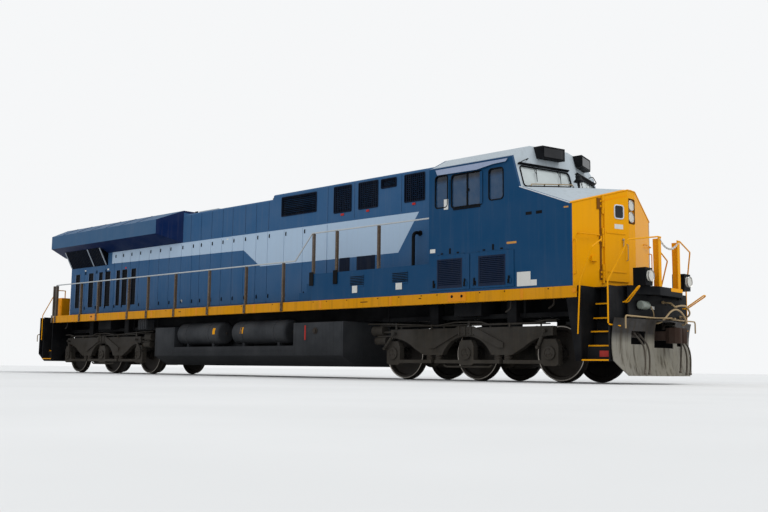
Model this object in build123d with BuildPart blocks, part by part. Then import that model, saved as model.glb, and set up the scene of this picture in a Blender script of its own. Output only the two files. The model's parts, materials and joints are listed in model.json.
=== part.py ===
# Six-axle freight diesel locomotive with a wide nose and a winged radiator.
# Lengths are in millimetres. X points to the nose, Y to the left side and Z up.
# The origin lies on the plane of the flange tips, under the middle of the coupled length.
from build123d import *
import os
from math import atan, cos, hypot, radians, sin, tan

os.makedirs("parts", exist_ok=True)

# Wheels and trucks
flange_height = 28.0
wheel_radius = 533.0
wheel_back = 677.0
wheel_rim = 140.0
axle_radius = 105.0
journal_radius = 80.0
journal_end = 1185.0
axle_spacing = 2007.0
truck_centre = 6992.0
frame_face = 1200.0
frame_plate = 140.0
truck_top = 1050.0
pivot_radius = 250.0
running_gap = 0.4
seat = 0.2

# Whole body, with heights above the rail raised by the flange
rail_top = flange_height
axle_height = rail_top + wheel_radius
half_length = 11120.0
coupler_height = rail_top + 870.0
deck_top = rail_top + 1755.0
deck_plate = 25.0
sill_face = 1538.0
sill_plate = 20.0
sill_depth = 214.0
sill_foot = 110.0
sill_foot_plate = 16.0
sill_rear = -9460.0
sill_front = 9810.0
well_rear = 9890.0
well_front = 10440.0
well_plate = 20.0
platform_half = 1020.0
platform_front = 10900.0
platform_nib = 450.0
platform_corner = 10600.0
rear_platform = 10600.0

# Cab and nose
cab_half = 1530.0
cab_wall = 50.0
cab_rear = 6263.0
roof_top = rail_top + 4660.0
roof_edge = rail_top + 4375.0
roof_flat_half = 1000.0
shield_foot_x = 8553.0
shield_foot = rail_top + 3742.0
shield_rake = 0.274
shield_sweep = 0.25
nose_corner_x = 9680.0
nose_corner = rail_top + 3300.0
nose_tip_x = 10105.0
nose_tip_half = 140.0
nose_tip = rail_top + 3690.0
nose_ridge = rail_top + 3890.0
cab_floor_top = rail_top + 2620.0
floor_plate = 50.0
glass = 10.0

# Hood, equipment cab and radiator
hood_half = 950.0
hood_wall = 40.0
hood_top = rail_top + 4490.0
hood_front = 550.0
hood_rear = -3360.0
equipment_top = rail_top + 4600.0
radiator_rear = -9500.0
radiator_top = rail_top + 4600.0
wing_face = 1480.0
wing_rear = -9907.0
wing_front = -3942.0
wing_low = rail_top + 3941.0
wing_high = rail_top + 4345.0
wing_root = rail_top + 3680.0
door_plate = 14.0
door_gap = 12.0

# Handrails
rail_radius = 17.0
rail_line = 1500.0
rail_top_line = rail_top + 2735.0
rail_bend = 60.0


def above_rail(height):
    return rail_top + height


def box(x_low, x_high, y_low, y_high, z_low, z_high, mode=Mode.ADD):
    with Locations(((x_low + x_high) / 2, (y_low + y_high) / 2, (z_low + z_high) / 2)):
        Box(x_high - x_low, y_high - y_low, z_high - z_low, mode=mode)


def plate_xz(points, y_low, y_high, mode=Mode.ADD):
    with BuildSketch(Plane.XZ.offset(-y_high)) as outline:
        Polygon(*points, align=None)
    extrude(outline.sketch, amount=y_high - y_low, mode=mode)


def plate_yz(points, x_low, x_high, mode=Mode.ADD):
    with BuildSketch(Plane.YZ.offset(x_low)) as outline:
        Polygon(*points, align=None)
    extrude(outline.sketch, amount=x_high - x_low, mode=mode)


def plate_xy(points, z_low, z_high, mode=Mode.ADD):
    with BuildSketch(Plane.XY.offset(z_low)) as outline:
        Polygon(*points, align=None)
    extrude(outline.sketch, amount=z_high - z_low, mode=mode)


def rod(start, end, radius, mode=Mode.ADD):
    run = Vector(*end) - Vector(*start)
    with BuildSketch(Plane(origin=start, z_dir=run)) as section:
        Circle(radius)
    extrude(section.sketch, amount=run.length, mode=mode)


def bent_rail(points, radius=rail_radius, bend=rail_bend):
    first_run = Vector(*points[1]) - Vector(*points[0])
    with BuildLine() as path:
        FilletPolyline(*points, radius=bend)
    with BuildSketch(Plane(origin=points[0], z_dir=first_run)) as section:
        Circle(radius)
    sweep(section.sketch, path=path.line)


def rounded_window(x_low, x_high, z_low, z_high, y_low, y_high, corner, mode=Mode.ADD):
    middle = ((x_low + x_high) / 2, (z_low + z_high) / 2)
    with BuildSketch(Plane.XZ.offset(-y_high)) as outline:
        with Locations(middle):
            RectangleRounded(x_high - x_low, z_high - z_low, corner)
    extrude(outline.sketch, amount=y_high - y_low, mode=mode)


def grille(x_low, x_high, z_low, z_high, face, side, slats, depth):
    """A framed louvre with slanted blades, its outer face at the distance face from the middle."""
    border = 35.0
    blade = 5.0
    inner, outer = sorted((side * (face - depth), side * face))
    with BuildSketch(Plane.XZ.offset(-outer)) as frame:
        with Locations(((x_low + x_high) / 2, (z_low + z_high) / 2)):
            Rectangle(x_high - x_low, z_high - z_low)
            Rectangle(x_high - x_low - 2 * border, z_high - z_low - 2 * border, mode=Mode.SUBTRACT)
    pitch = (z_high - z_low - 2 * border) / slats
    with BuildSketch(Plane.YZ.offset(x_low + border)) as blades:
        for row in range(slats):
            foot = z_low + border + (row + 0.05) * pitch
            Polygon(
                (side * face, foot),
                (side * face, foot + blade),
                (side * (face - depth), foot + pitch * 0.9),
                (side * (face - depth), foot + pitch * 0.9 - blade),
                align=None,
            )
    with BuildPart(mode=Mode.PRIVATE) as louvre:
        extrude(frame.sketch, amount=outer - inner)
        extrude(blades.sketch, amount=x_high - x_low - 2 * border)
    add(louvre.part)


def outward_plane(first, second, third, inside):
    """The plane through three points, facing away from a point inside."""
    normal = (Vector(*second) - Vector(*first)).cross(Vector(*third) - Vector(*first))
    if (Vector(*inside) - Vector(*first)).dot(normal) > 0:
        normal = normal * -1
    return Plane(origin=first, z_dir=normal)


# Planes that bound the cab and the nose on one side; side is -1 on the right and 1 on the left
cab_heart = (7500.0, 0.0, deck_top + 800.0)


def shield_plane(side):
    sweep_run = cab_half * shield_sweep
    return outward_plane(
        (shield_foot_x, side * cab_half, shield_foot),
        (shield_foot_x - shield_rake * 500.0, side * cab_half, shield_foot + 500.0),
        (shield_foot_x + sweep_run, 0.0, shield_foot),
        cab_heart,
    )


def roof_plane(side):
    return outward_plane(
        (0.0, side * cab_half, roof_edge),
        (1000.0, side * cab_half, roof_edge),
        (0.0, side * roof_flat_half, roof_top),
        cab_heart,
    )


def facet_plane(side):
    return outward_plane(
        (nose_corner_x, side * cab_half, 0.0),
        (nose_corner_x, side * cab_half, 1000.0),
        (nose_tip_x, side * nose_tip_half, 0.0),
        cab_heart,
    )


def nose_shoulder_plane(side):
    return outward_plane(
        (shield_foot_x, side * cab_half, shield_foot),
        (nose_corner_x, side * cab_half, nose_corner),
        (nose_tip_x, side * nose_tip_half, nose_tip),
        cab_heart,
    )


def nose_crown_plane(side):
    ridge_sweep = shield_sweep * (cab_half - nose_tip_half)
    ridge_x = shield_foot_x + ridge_sweep - shield_rake * (nose_ridge - shield_foot)
    return outward_plane(
        (shield_foot_x, side * cab_half, shield_foot),
        (nose_tip_x, side * nose_tip_half, nose_tip),
        (ridge_x, side * nose_tip_half, nose_ridge),
        cab_heart,
    )


def cab_block(front_inset=0.0, top_inset=0.0, side_inset=0.0, rear_inset=0.0):
    """The space inside the cab planes, each moved inwards by its inset."""
    half = cab_half - side_inset
    with BuildPart(mode=Mode.PRIVATE) as block:
        box(cab_rear + rear_inset, nose_corner_x, -half, half, deck_top, roof_top - top_inset)
        for side in (-1, 1):
            split(bisect_by=roof_plane(side).offset(-top_inset), keep=Keep.BOTTOM)
            split(bisect_by=shield_plane(side).offset(-front_inset), keep=Keep.BOTTOM)
    return block.part


def nose_block(front_inset=0.0, top_inset=0.0, side_inset=0.0):
    """The space inside the nose planes, which starts behind the windshield."""
    half = cab_half - side_inset
    with BuildPart(mode=Mode.PRIVATE) as block:
        box(shield_foot_x - 400.0, nose_tip_x - front_inset, -half, half, deck_top, nose_ridge + 300.0)
        for side in (-1, 1):
            split(bisect_by=facet_plane(side).offset(-front_inset), keep=Keep.BOTTOM)
            split(bisect_by=nose_shoulder_plane(side).offset(-top_inset), keep=Keep.BOTTOM)
            split(bisect_by=nose_crown_plane(side).offset(-top_inset), keep=Keep.BOTTOM)
    return block.part


cab_outer = cab_block()
cab_inner = cab_block(cab_wall, cab_wall, cab_wall, cab_wall)
nose_outer = nose_block()
nose_inner = nose_block(cab_wall, cab_wall, cab_wall)

# Underframe: deck plate, two centre beams, bolsters with their pivots and the draft boxes
beam_y = 450.0
beam_web = 25.0
beam_flange = 200.0
beam_flange_plate = 30.0
beam_low = above_rail(1290.0)
deck_low = deck_top - deck_plate
bolster_half = 350.0
bolster_reach = 1150.0
bearing_y = 900.0
bearing_half = 110.0
pivot_low = above_rail(960.0)
transom_x = 1003.0
draft_rear = 9700.0
draft_half = 190.0
draft_plate = 30.0
draft_low = coupler_height - 130.0
draft_high = coupler_height + 130.0
draft_front = 10420.0

beam_end = 10400.0
bolster_places = (-truck_centre, truck_centre)
beam_runs = (
    (-beam_end, -truck_centre - bolster_half - seat),
    (-truck_centre + bolster_half + seat, truck_centre - bolster_half - seat),
    (truck_centre + bolster_half + seat, beam_end),
)
plate_under = deck_low - seat
coupler_pivot = draft_rear + 300.0
coupler_pin_radius = 40.0 - running_gap

with BuildPart() as underframe:
    deck_half = sill_face - sill_plate
    deck_front = well_rear - well_plate
    box(sill_rear, deck_front, -deck_half, deck_half, deck_low, deck_top)
    plate_xy(
        (
            (deck_front + seat, -platform_half),
            (platform_corner, -platform_half),
            (platform_front, -platform_nib),
            (platform_front, platform_nib),
            (platform_corner, platform_half),
            (deck_front + seat, platform_half),
        ),
        deck_low,
        deck_top,
    )
    box(-rear_platform, sill_rear - seat, -platform_half, platform_half, deck_low, deck_top)
    for x_low, x_high in beam_runs:
        for y_mid in (-beam_y, beam_y):
            web_foot = beam_low + beam_flange_plate + seat
            box(x_low, x_high, y_mid - beam_web / 2, y_mid + beam_web / 2, web_foot, plate_under)
            flange_low, flange_high = y_mid - beam_flange / 2, y_mid + beam_flange / 2
            box(x_low, x_high, flange_low, flange_high, beam_low, beam_low + beam_flange_plate)
    for middle in bolster_places:
        box(middle - bolster_half, middle + bolster_half, -bolster_reach, bolster_reach, beam_low, plate_under)
        rod((middle, 0.0, pivot_low), (middle, 0.0, beam_low - seat), pivot_radius)
        for hand in (-1, 1):
            for side in (-1, 1):
                post_x = middle + hand * transom_x
                box(
                    post_x - bearing_half,
                    post_x + bearing_half,
                    side * bearing_y - bearing_half,
                    side * bearing_y + bearing_half,
                    above_rail(truck_top) + running_gap,
                    plate_under,
                )
    for end in (-1, 1):
        near, far = sorted((end * draft_rear, end * draft_front))
        box_half = draft_half + draft_plate
        box(near, far, -box_half, box_half, draft_high, plate_under)
        box(near, far, -box_half, box_half, draft_low - draft_plate, draft_low)
        for side in (-1, 1):
            wall_low, wall_high = sorted((side * draft_half, side * box_half))
            box(near, far, wall_low, wall_high, draft_low + seat, draft_high - seat)
        rod(
            (end * coupler_pivot, 0.0, draft_low + seat),
            (end * coupler_pivot, 0.0, draft_high - seat),
            coupler_pin_radius,
        )
underframe.part.label = "underframe"
export_step(underframe.part, "parts/underframe.step")

# Side sills: an outer web with a foot turned inwards
with BuildPart() as side_sills:
    for side in (-1, 1):
        web_low, web_high = sorted((side * (sill_face - sill_plate), side * sill_face))
        box(sill_rear, sill_front, web_low, web_high, deck_top - sill_depth, deck_top)
        foot_low, foot_high = sorted((side * (sill_face - sill_foot), side * (sill_face - sill_plate - seat)))
        box(sill_rear, sill_front, foot_low, foot_high, deck_top - sill_depth, deck_top - sill_depth + sill_foot_plate)
side_sills.part.label = "side_sills"
export_step(side_sills.part, "parts/side_sills.step")

# Fuel tank: two tall end boxes, a low full-width middle and a narrow core that carries the beams
tank_rear = -3720.0
tank_front = 3717.0
tank_face = 1496.0
tank_top = above_rail(1260.0)
tank_shelf = above_rail(720.0)
tank_knee = above_rail(483.0)
tank_bottom = above_rail(244.0)
tank_foot = 1080.0
tank_core = 820.0
tank_rear_box = -2810.0
tank_front_box = 2040.0

with BuildPart() as fuel_tank:
    plate_yz(
        (
            (-tank_face, tank_top),
            (-tank_face, tank_knee),
            (-tank_foot, tank_bottom),
            (tank_foot, tank_bottom),
            (tank_face, tank_knee),
            (tank_face, tank_top),
        ),
        tank_rear,
        tank_front,
    )
    fillet(fuel_tank.edges().filter_by(Axis.X), radius=30.0)
    for side in (-1, 1):
        inner, outer = sorted((side * tank_core, side * (tank_face + 10.0)))
        box(tank_rear_box, tank_front_box, inner, outer, tank_shelf, tank_top + 10.0, Mode.SUBTRACT)
    box(-2500.0, 2500.0, -tank_core + 200.0, tank_core - 200.0, tank_top, beam_low)
fuel_tank.part.label = "fuel_tank"
export_step(fuel_tank.part, "parts/fuel_tank.step")

# Air reservoirs: domed cylinders lying on saddles along the tank shelf
reservoir_radius = 295.0
reservoir_y = 1165.0
reservoir_z = above_rail(1070.0)
reservoir_dome = 70.0
# rear end, front end
reservoirs = ((-2780.0, -970.0), (-400.0, 1650.0))

with BuildPart() as air_reservoirs:
    for side in (-1, 1):
        for rear_end, front_end in reservoirs:
            rod((rear_end, side * reservoir_y, reservoir_z), (front_end, side * reservoir_y, reservoir_z),
                reservoir_radius)
    fillet(air_reservoirs.edges().filter_by(GeomType.CIRCLE), radius=reservoir_dome)
    for side in (-1, 1):
        for rear_end, front_end in reservoirs:
            for place in (rear_end + 350.0, front_end - 350.0):
                box(
                    place - 40.0,
                    place + 40.0,
                    side * reservoir_y - 150.0,
                    side * reservoir_y + 150.0,
                    tank_shelf,
                    reservoir_z - 240.0,
                )
air_reservoirs.part.label = "air_reservoirs"
export_step(air_reservoirs.part, "parts/air_reservoirs.step")

# Step wells: a wall at each end of the well, a back plate and treads that climb inwards
# outer edge, height above the rail
treads = (
    (1530.0, 410.0),
    (1300.0, 670.0),
    (1200.0, 930.0),
    (1110.0, 1180.0),
    (1020.0, 1450.0),
)
tread_depth = 230.0
tread_plate = 30.0
riser_plate = 15.0
wall_foot_depth = 260.0
wall_inner = 760.0
wall_inner_foot = above_rail(1100.0)
skirt_foot = above_rail(380.0)
skirt_plate = 12.0
skirt_rear = 9580.0
skirt_rear_foot = 9770.0
rear_well_length = 560.0


def step_well(wall_near, wall_far, end):
    """Both step wells at one end, between the wall nearer the middle and the wall at the end."""
    for side in (-1, 1):
        for wall_x in (wall_near - well_plate / 2, wall_far + well_plate / 2):
            wall = (
                (side * wall_inner, deck_low),
                (side * cab_half, deck_low),
                (side * cab_half, skirt_foot),
                (side * (cab_half - wall_foot_depth), skirt_foot),
                (side * wall_inner, wall_inner_foot),
            )
            low, high = sorted((end * (wall_x - well_plate / 2), end * (wall_x + well_plate / 2)))
            plate_yz(wall, low, high)
        low, high = sorted((end * (wall_near + seat), end * (wall_far - seat)))
        tread_above = [height for _, height in treads[1:]] + [(deck_low - rail_top) + tread_plate]
        for (outer_edge, tread_height), next_height in zip(treads, tread_above):
            inner, outer = sorted((side * (outer_edge - tread_depth), side * outer_edge))
            tread_top = above_rail(tread_height)
            box(low, high, inner, outer, tread_top - tread_plate, tread_top)
            riser_y = side * (outer_edge - tread_depth + riser_plate / 2)
            box(
                low,
                high,
                riser_y - riser_plate / 2,
                riser_y + riser_plate / 2,
                tread_top + seat,
                above_rail(next_height) - tread_plate - seat,
            )


with BuildPart() as step_wells:
    step_well(well_rear, well_front, 1)
    step_well(-sill_rear + well_plate, -sill_rear + well_plate + rear_well_length, -1)
    for side in (-1, 1):
        inner, outer = sorted((side * (cab_half - skirt_plate), side * cab_half))
        plate_xz(
            (
                (skirt_rear, deck_top - sill_depth),
                (well_rear - well_plate - seat, deck_top - sill_depth),
                (well_rear - well_plate - seat, skirt_foot),
                (skirt_rear_foot, skirt_foot),
            ),
            inner,
            outer,
        )
step_wells.part.label = "step_wells"
export_step(step_wells.part, "parts/step_wells.step")

# Pilots: at the front a plate, folded shelf under the platform edge and the two lamp boxes
pilot_x = 10540.0
pilot_plate = 25.0
pilot_low = above_rail(1150.0)
coupler_gap_half = 380.0
shelf_depth = 130.0
shelf_plate = 30.0
lamp_box_rear = 10600.0
lamp_box_front = 10850.0
lamp_box_y = 770.0
lamp_box_half = 130.0
lamp_box_top = above_rail(2080.0)
ditch_lamp_z = above_rail(1930.0)

shelf_rib_y = 300.0
shelf_rib_half = 10.0
rear_pilot_half = 1380.0
rear_pilot_foot = above_rail(330.0)
rear_pilot_foot_half = 1180.0
rear_pilot_knee = above_rail(560.0)

with BuildPart() as pilot_plates:
    shelf_low = deck_low - shelf_depth
    shelf_back = platform_front - shelf_plate
    box(pilot_x, pilot_x + pilot_plate, -platform_half, platform_half, pilot_low, deck_low)
    box(shelf_back, platform_front, -platform_nib, platform_nib, shelf_low, deck_low)
    for side in (-1, 1):
        plate_xy(
            (
                (platform_front, side * (platform_nib + seat)),
                (platform_corner, side * platform_half),
                (platform_corner - shelf_plate, side * platform_half),
                (shelf_back, side * (platform_nib + seat)),
            ),
            shelf_low,
            deck_low,
        )
        box(
            pilot_x + pilot_plate + seat,
            shelf_back - seat,
            side * shelf_rib_y - shelf_rib_half,
            side * shelf_rib_y + shelf_rib_half,
            shelf_low,
            deck_low,
        )
        box(
            lamp_box_rear,
            lamp_box_front,
            side * lamp_box_y - lamp_box_half,
            side * lamp_box_y + lamp_box_half,
            deck_top,
            lamp_box_top,
        )
        plate_yz(
            (
                (side * coupler_gap_half, rear_pilot_foot),
                (side * rear_pilot_foot_half, rear_pilot_foot),
                (side * rear_pilot_half, rear_pilot_knee),
                (side * rear_pilot_half, pilot_low - seat),
                (side * coupler_gap_half, pilot_low - seat),
            ),
            -rear_platform,
            -rear_platform + pilot_plate,
        )
    box(-rear_platform, -rear_platform + pilot_plate, -rear_pilot_half, rear_pilot_half, pilot_low, deck_low)
pilot_plates.part.label = "pilot_plates"
export_step(pilot_plates.part, "parts/pilot_plates.step")

# Snow plow: two curved blades that meet on the centre line, with a coupler gap and hose pockets
plow_nose_x = 10860.0
plow_half = 1500.0
plow_sweep = 0.2
plow_top = pilot_low
plow_low = above_rail(125.0)
plow_plate = 16.0
plow_belly = 60.0
plow_corner_z = above_rail(390.0)
plow_corner_y = 1200.0
coupler_gap_low = above_rail(640.0)
pocket_mid = 820.0
pocket_half = 190.0
pocket_low = above_rail(690.0)
pocket_high = above_rail(930.0)

with BuildPart() as front_plow:
    blade_angle = atan(plow_sweep)
    along = (-sin(blade_angle), cos(blade_angle), 0.0)
    forward = (cos(blade_angle), sin(blade_angle), 0.0)
    with BuildSketch(Plane(origin=(plow_nose_x, 0.0, 0.0), x_dir=forward, z_dir=along)) as blade_section:
        with BuildLine():
            ThreePointArc((0.0, -plow_top), (-plow_belly, -(plow_top + plow_low) / 2), (40.0, -plow_low))
            Line((40.0, -plow_low), (40.0 - plow_plate, -plow_low))
            ThreePointArc(
                (40.0 - plow_plate, -plow_low),
                (-plow_belly - plow_plate, -(plow_top + plow_low) / 2),
                (-plow_plate, -plow_top),
            )
            Line((-plow_plate, -plow_top), (0.0, -plow_top))
        make_face()
    extrude(blade_section.sketch, amount=plow_half / cos(blade_angle) + 60.0)
    extrude(blade_section.sketch, amount=-60.0)
    trim_rear, trim_front = plow_nose_x - 600.0, plow_nose_x + 200.0
    box(trim_rear, trim_front, plow_half, plow_half + 300.0, 0.0, plow_top + 10.0, Mode.SUBTRACT)
    plate_yz(
        ((plow_half + 100.0, plow_corner_z), (plow_half, plow_corner_z), (plow_corner_y, plow_low - 1.0),
         (plow_corner_y, -50.0), (plow_half + 100.0, -50.0)),
        plow_nose_x - 600.0,
        plow_nose_x + 200.0,
        Mode.SUBTRACT,
    )
    plate_xy(
        (
            (pilot_x + 20.0, 0.0),
            (plow_nose_x - 8.0, 0.0),
            (plow_nose_x - 8.0 - plow_sweep * 1400.0, 1400.0),
            (pilot_x + 20.0, 1400.0),
        ),
        plow_top - 20.0,
        plow_top,
    )
    box(plow_nose_x - 200.0, plow_nose_x + 200.0, -1.0, coupler_gap_half, coupler_gap_low, plow_top - 20.0,
        Mode.SUBTRACT)
    box(
        plow_nose_x - 400.0,
        plow_nose_x + 200.0,
        pocket_mid - pocket_half,
        pocket_mid + pocket_half,
        pocket_low,
        pocket_high,
        Mode.SUBTRACT,
    )
    split(bisect_by=Plane.XZ, keep=Keep.BOTTOM)
    mirror(about=Plane.XZ)
front_plow.part.label = "front_plow"
export_step(front_plow.part, "parts/front_plow.step")

# Cab sides: whole wall thickness, three windows each, two battery doorways on the right
window_corner = 60.0
# rear edge, front edge, sill, head
side_windows = (
    (6434.0, 6763.0, above_rail(3530.0), above_rail(4205.0)),
    (6867.0, 7665.0, above_rail(3490.0), above_rail(4180.0)),
    (7822.0, 8173.0, above_rail(3550.0), above_rail(4180.0)),
)
battery_low = above_rail(1835.0)
battery_high = above_rail(2500.0)
battery_lap = 25.0
louvre_half = 330.0
# rear edge, front edge of each doorway
battery_doorways = ((6345.0, 7320.0), (7400.0, 8400.0))


def cab_side(side):
    """The side wall from the cab's rear corner to the nose corner."""
    wall_low, wall_high = sorted((side * (cab_half - cab_wall), side * cab_half))
    add(cab_outer)
    add(nose_outer)
    box(cab_rear - 10.0, nose_tip_x + 10.0, wall_low, wall_high, 0.0, roof_top + 100.0, Mode.INTERSECT)
    for x_low, x_high, z_low, z_high in side_windows:
        rounded_window(x_low, x_high, z_low, z_high, wall_low, wall_high, window_corner, Mode.SUBTRACT)


with BuildPart() as cab_side_right:
    cab_side(-1)
    for x_low, x_high in battery_doorways:
        box(x_low, x_high, -cab_half, -cab_half + cab_wall, battery_low, battery_high, Mode.SUBTRACT)
cab_side_right.part.label = "cab_side_right"
export_step(cab_side_right.part, "parts/cab_side_right.step")

with BuildPart() as cab_side_left:
    cab_side(1)
    grille(6460.0, 7130.0, battery_low, battery_high, cab_half + 12.0, 1, 12, 12.0)
    grille(7560.0, 8205.0, battery_low, battery_high, cab_half + 12.0, 1, 12, 12.0)
cab_side_left.part.label = "cab_side_left"
export_step(cab_side_left.part, "parts/cab_side_left.step")

# Between the side walls: rear wall, roof, windshield frame, nose top and nose front
inner_half = cab_half - cab_wall
rear_door_inner = -1010.0
rear_door_outer = -1440.0
rear_door_head = above_rail(4150.0)
rear_door_sill = cab_floor_top + 20.0

with BuildPart() as cab_rear_wall:
    add(cab_outer)
    box(cab_rear, cab_rear + cab_wall, -inner_half, inner_half, 0.0, roof_top + 100.0, Mode.INTERSECT)
    box(
        cab_rear,
        cab_rear + cab_wall,
        rear_door_outer,
        rear_door_inner,
        rear_door_sill,
        rear_door_head,
        Mode.SUBTRACT,
    )
cab_rear_wall.part.label = "cab_rear_wall"
export_step(cab_rear_wall.part, "parts/cab_rear_wall.step")

roof_block = cab_block(cab_wall, 0.0, cab_wall, cab_wall)

with BuildPart() as cab_roof:
    add(roof_block)
    add(cab_inner, mode=Mode.SUBTRACT)
cab_roof.part.label = "cab_roof"
export_step(cab_roof.part, "parts/cab_roof.step")

shield_block = cab_block(0.0, 0.0, cab_wall, cab_wall)
shield_outer_y = 1400.0
shield_inner_y = 130.0
shield_head = above_rail(4190.0)
shield_sill_outer = above_rail(3765.0)
shield_sill_inner = above_rail(3895.0)
shield_corner = 70.0


def shield_point(side, distance, height):
    """The point on the outer windshield plane at a distance from the middle and a height."""
    x = shield_foot_x + shield_sweep * (cab_half - distance) - shield_rake * (height - shield_foot)
    return (x, side * distance, height)


def shield_outline(side):
    """The rounded outline of one windshield pane, drawn on the outer windshield plane."""
    plane = shield_plane(side)
    corners = [
        plane.to_local_coords(Vector(*shield_point(side, distance, height)))
        for distance, height in (
            (shield_outer_y, shield_head),
            (shield_inner_y, shield_head),
            (shield_inner_y, shield_sill_inner),
            (shield_outer_y, shield_sill_outer),
        )
    ]
    with BuildSketch(plane, mode=Mode.PRIVATE) as outline:
        Polygon(*[(corner.X, corner.Y) for corner in corners], align=None)
        fillet(outline.vertices(), radius=shield_corner)
    return outline.sketch


shield_outlines = [shield_outline(side) for side in (-1, 1)]

with BuildPart() as windshield_frame:
    add(shield_block)
    add(roof_block, mode=Mode.SUBTRACT)
    add(nose_inner, mode=Mode.SUBTRACT)
    box(cab_rear, nose_tip_x, -cab_half, cab_half, 0.0, shield_foot - 200.0, Mode.SUBTRACT)
    for outline in shield_outlines:
        extrude(outline, amount=-cab_wall - 5.0, mode=Mode.SUBTRACT)
        extrude(outline, amount=5.0, mode=Mode.SUBTRACT)
windshield_frame.part.label = "windshield_frame"
export_step(windshield_frame.part, "parts/windshield_frame.step")

nose_behind_front = nose_block(cab_wall, 0.0, cab_wall)

with BuildPart() as nose_top:
    add(nose_behind_front)
    add(nose_inner, mode=Mode.SUBTRACT)
    add(cab_outer, mode=Mode.SUBTRACT)
nose_top.part.label = "nose_top"
export_step(nose_top.part, "parts/nose_top.step")

# Nose front, with the doorway in the right facet and a recess for the two headlights
facet_run = Vector(nose_tip_x - nose_corner_x, cab_half - nose_tip_half, 0.0).normalized()
facet_slope = (nose_tip_x - nose_corner_x) / (cab_half - nose_tip_half)
door_hinge_y = -770.0
door_free_y = -150.0
door_low = above_rail(1890.0)
door_high_outer = above_rail(3400.0)
door_high_inner = above_rail(3560.0)
door_lap = 30.0
hinge_stand_off = 16.0
hinge_radius = 24.0
hinge_pin = 9.0
knuckle_radius = 14.0
leaf_thickness = 30.0
leaf_start = 32.0


def facet_point(y, stand_off=0.0):
    """The plan point on the right facet at y, moved outwards by the stand-off."""
    x = nose_corner_x + (y + cab_half) * facet_slope
    return (x + facet_run.Y * stand_off, y - facet_run.X * stand_off)


hinge_x, hinge_y = facet_point(door_hinge_y, hinge_stand_off)
door_span = hypot(door_free_y - door_hinge_y, (door_free_y - door_hinge_y) * facet_slope)
door_plane = Plane(origin=(hinge_x, hinge_y, 0.0), x_dir=facet_run, z_dir=(0, 0, 1))
door_knuckle_rows = (above_rail(1960.0), above_rail(2650.0), above_rail(3280.0))
door_knuckle = 120.0
port_share = 0.62
port_z = above_rail(3230.0)
port_width = 230.0
port_height = 260.0
port_corner = 40.0
knuckle_gap = 1.0


def door_section(points, z_low, z_high, mode=Mode.ADD):
    """A block from a plan outline in the door's own frame: along the facet, then inwards."""
    with BuildSketch(door_plane.offset(z_low)) as outline:
        Polygon(*points, align=None)
    extrude(outline.sketch, amount=z_high - z_low, mode=mode)


def door_top_plane(drop):
    rise = door_high_inner - door_high_outer
    run = Vector(facet_run.X * door_span, facet_run.Y * door_span, rise)
    normal = Vector(facet_run.Y, -facet_run.X, 0.0).cross(run)
    if normal.Z < 0:
        normal = normal * -1
    return Plane(origin=(hinge_x, hinge_y, door_high_outer - drop), z_dir=normal)


with BuildPart(mode=Mode.PRIVATE) as doorway:
    door_section(
        (
            (leaf_start + door_lap, -5.0),
            (door_span - door_lap, -5.0),
            (door_span - door_lap, hinge_stand_off + cab_wall + 20.0),
            (leaf_start + door_lap, hinge_stand_off + cab_wall + 20.0),
        ),
        door_low + door_lap,
        door_high_inner,
    )
    split(bisect_by=door_top_plane(door_lap), keep=Keep.BOTTOM)

lamp_recess_low = above_rail(3050.0)
lamp_recess_high = above_rail(3520.0)
lamp_recess_half = 115.0
lamp_recess_depth = 35.0
headlight_radius = 95.0
headlight_rows = (above_rail(3170.0), above_rail(3400.0))

with BuildPart() as nose_front:
    add(nose_outer)
    add(nose_behind_front, mode=Mode.SUBTRACT)
    box(0.0, nose_tip_x, -cab_half - 10.0, -inner_half, 0.0, nose_ridge, Mode.SUBTRACT)
    box(0.0, nose_tip_x, inner_half, cab_half + 10.0, 0.0, nose_ridge, Mode.SUBTRACT)
    add(doorway.part, mode=Mode.SUBTRACT)
    box(
        nose_tip_x - lamp_recess_depth,
        nose_tip_x + 10.0,
        -lamp_recess_half,
        lamp_recess_half,
        lamp_recess_low,
        lamp_recess_high,
        Mode.SUBTRACT,
    )
    for row in door_knuckle_rows:
        rod(
            (hinge_x, hinge_y, row + door_knuckle + knuckle_gap),
            (hinge_x, hinge_y, row + 2 * door_knuckle),
            hinge_radius,
        )
        rod(
            (hinge_x, hinge_y, row - door_knuckle),
            (hinge_x, hinge_y, row - knuckle_gap),
            hinge_radius,
        )
        rod((hinge_x, hinge_y, row - door_knuckle), (hinge_x, hinge_y, row + 2 * door_knuckle), hinge_pin)
nose_front.part.label = "nose_front"
export_step(nose_front.part, "parts/nose_front.step")

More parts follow.
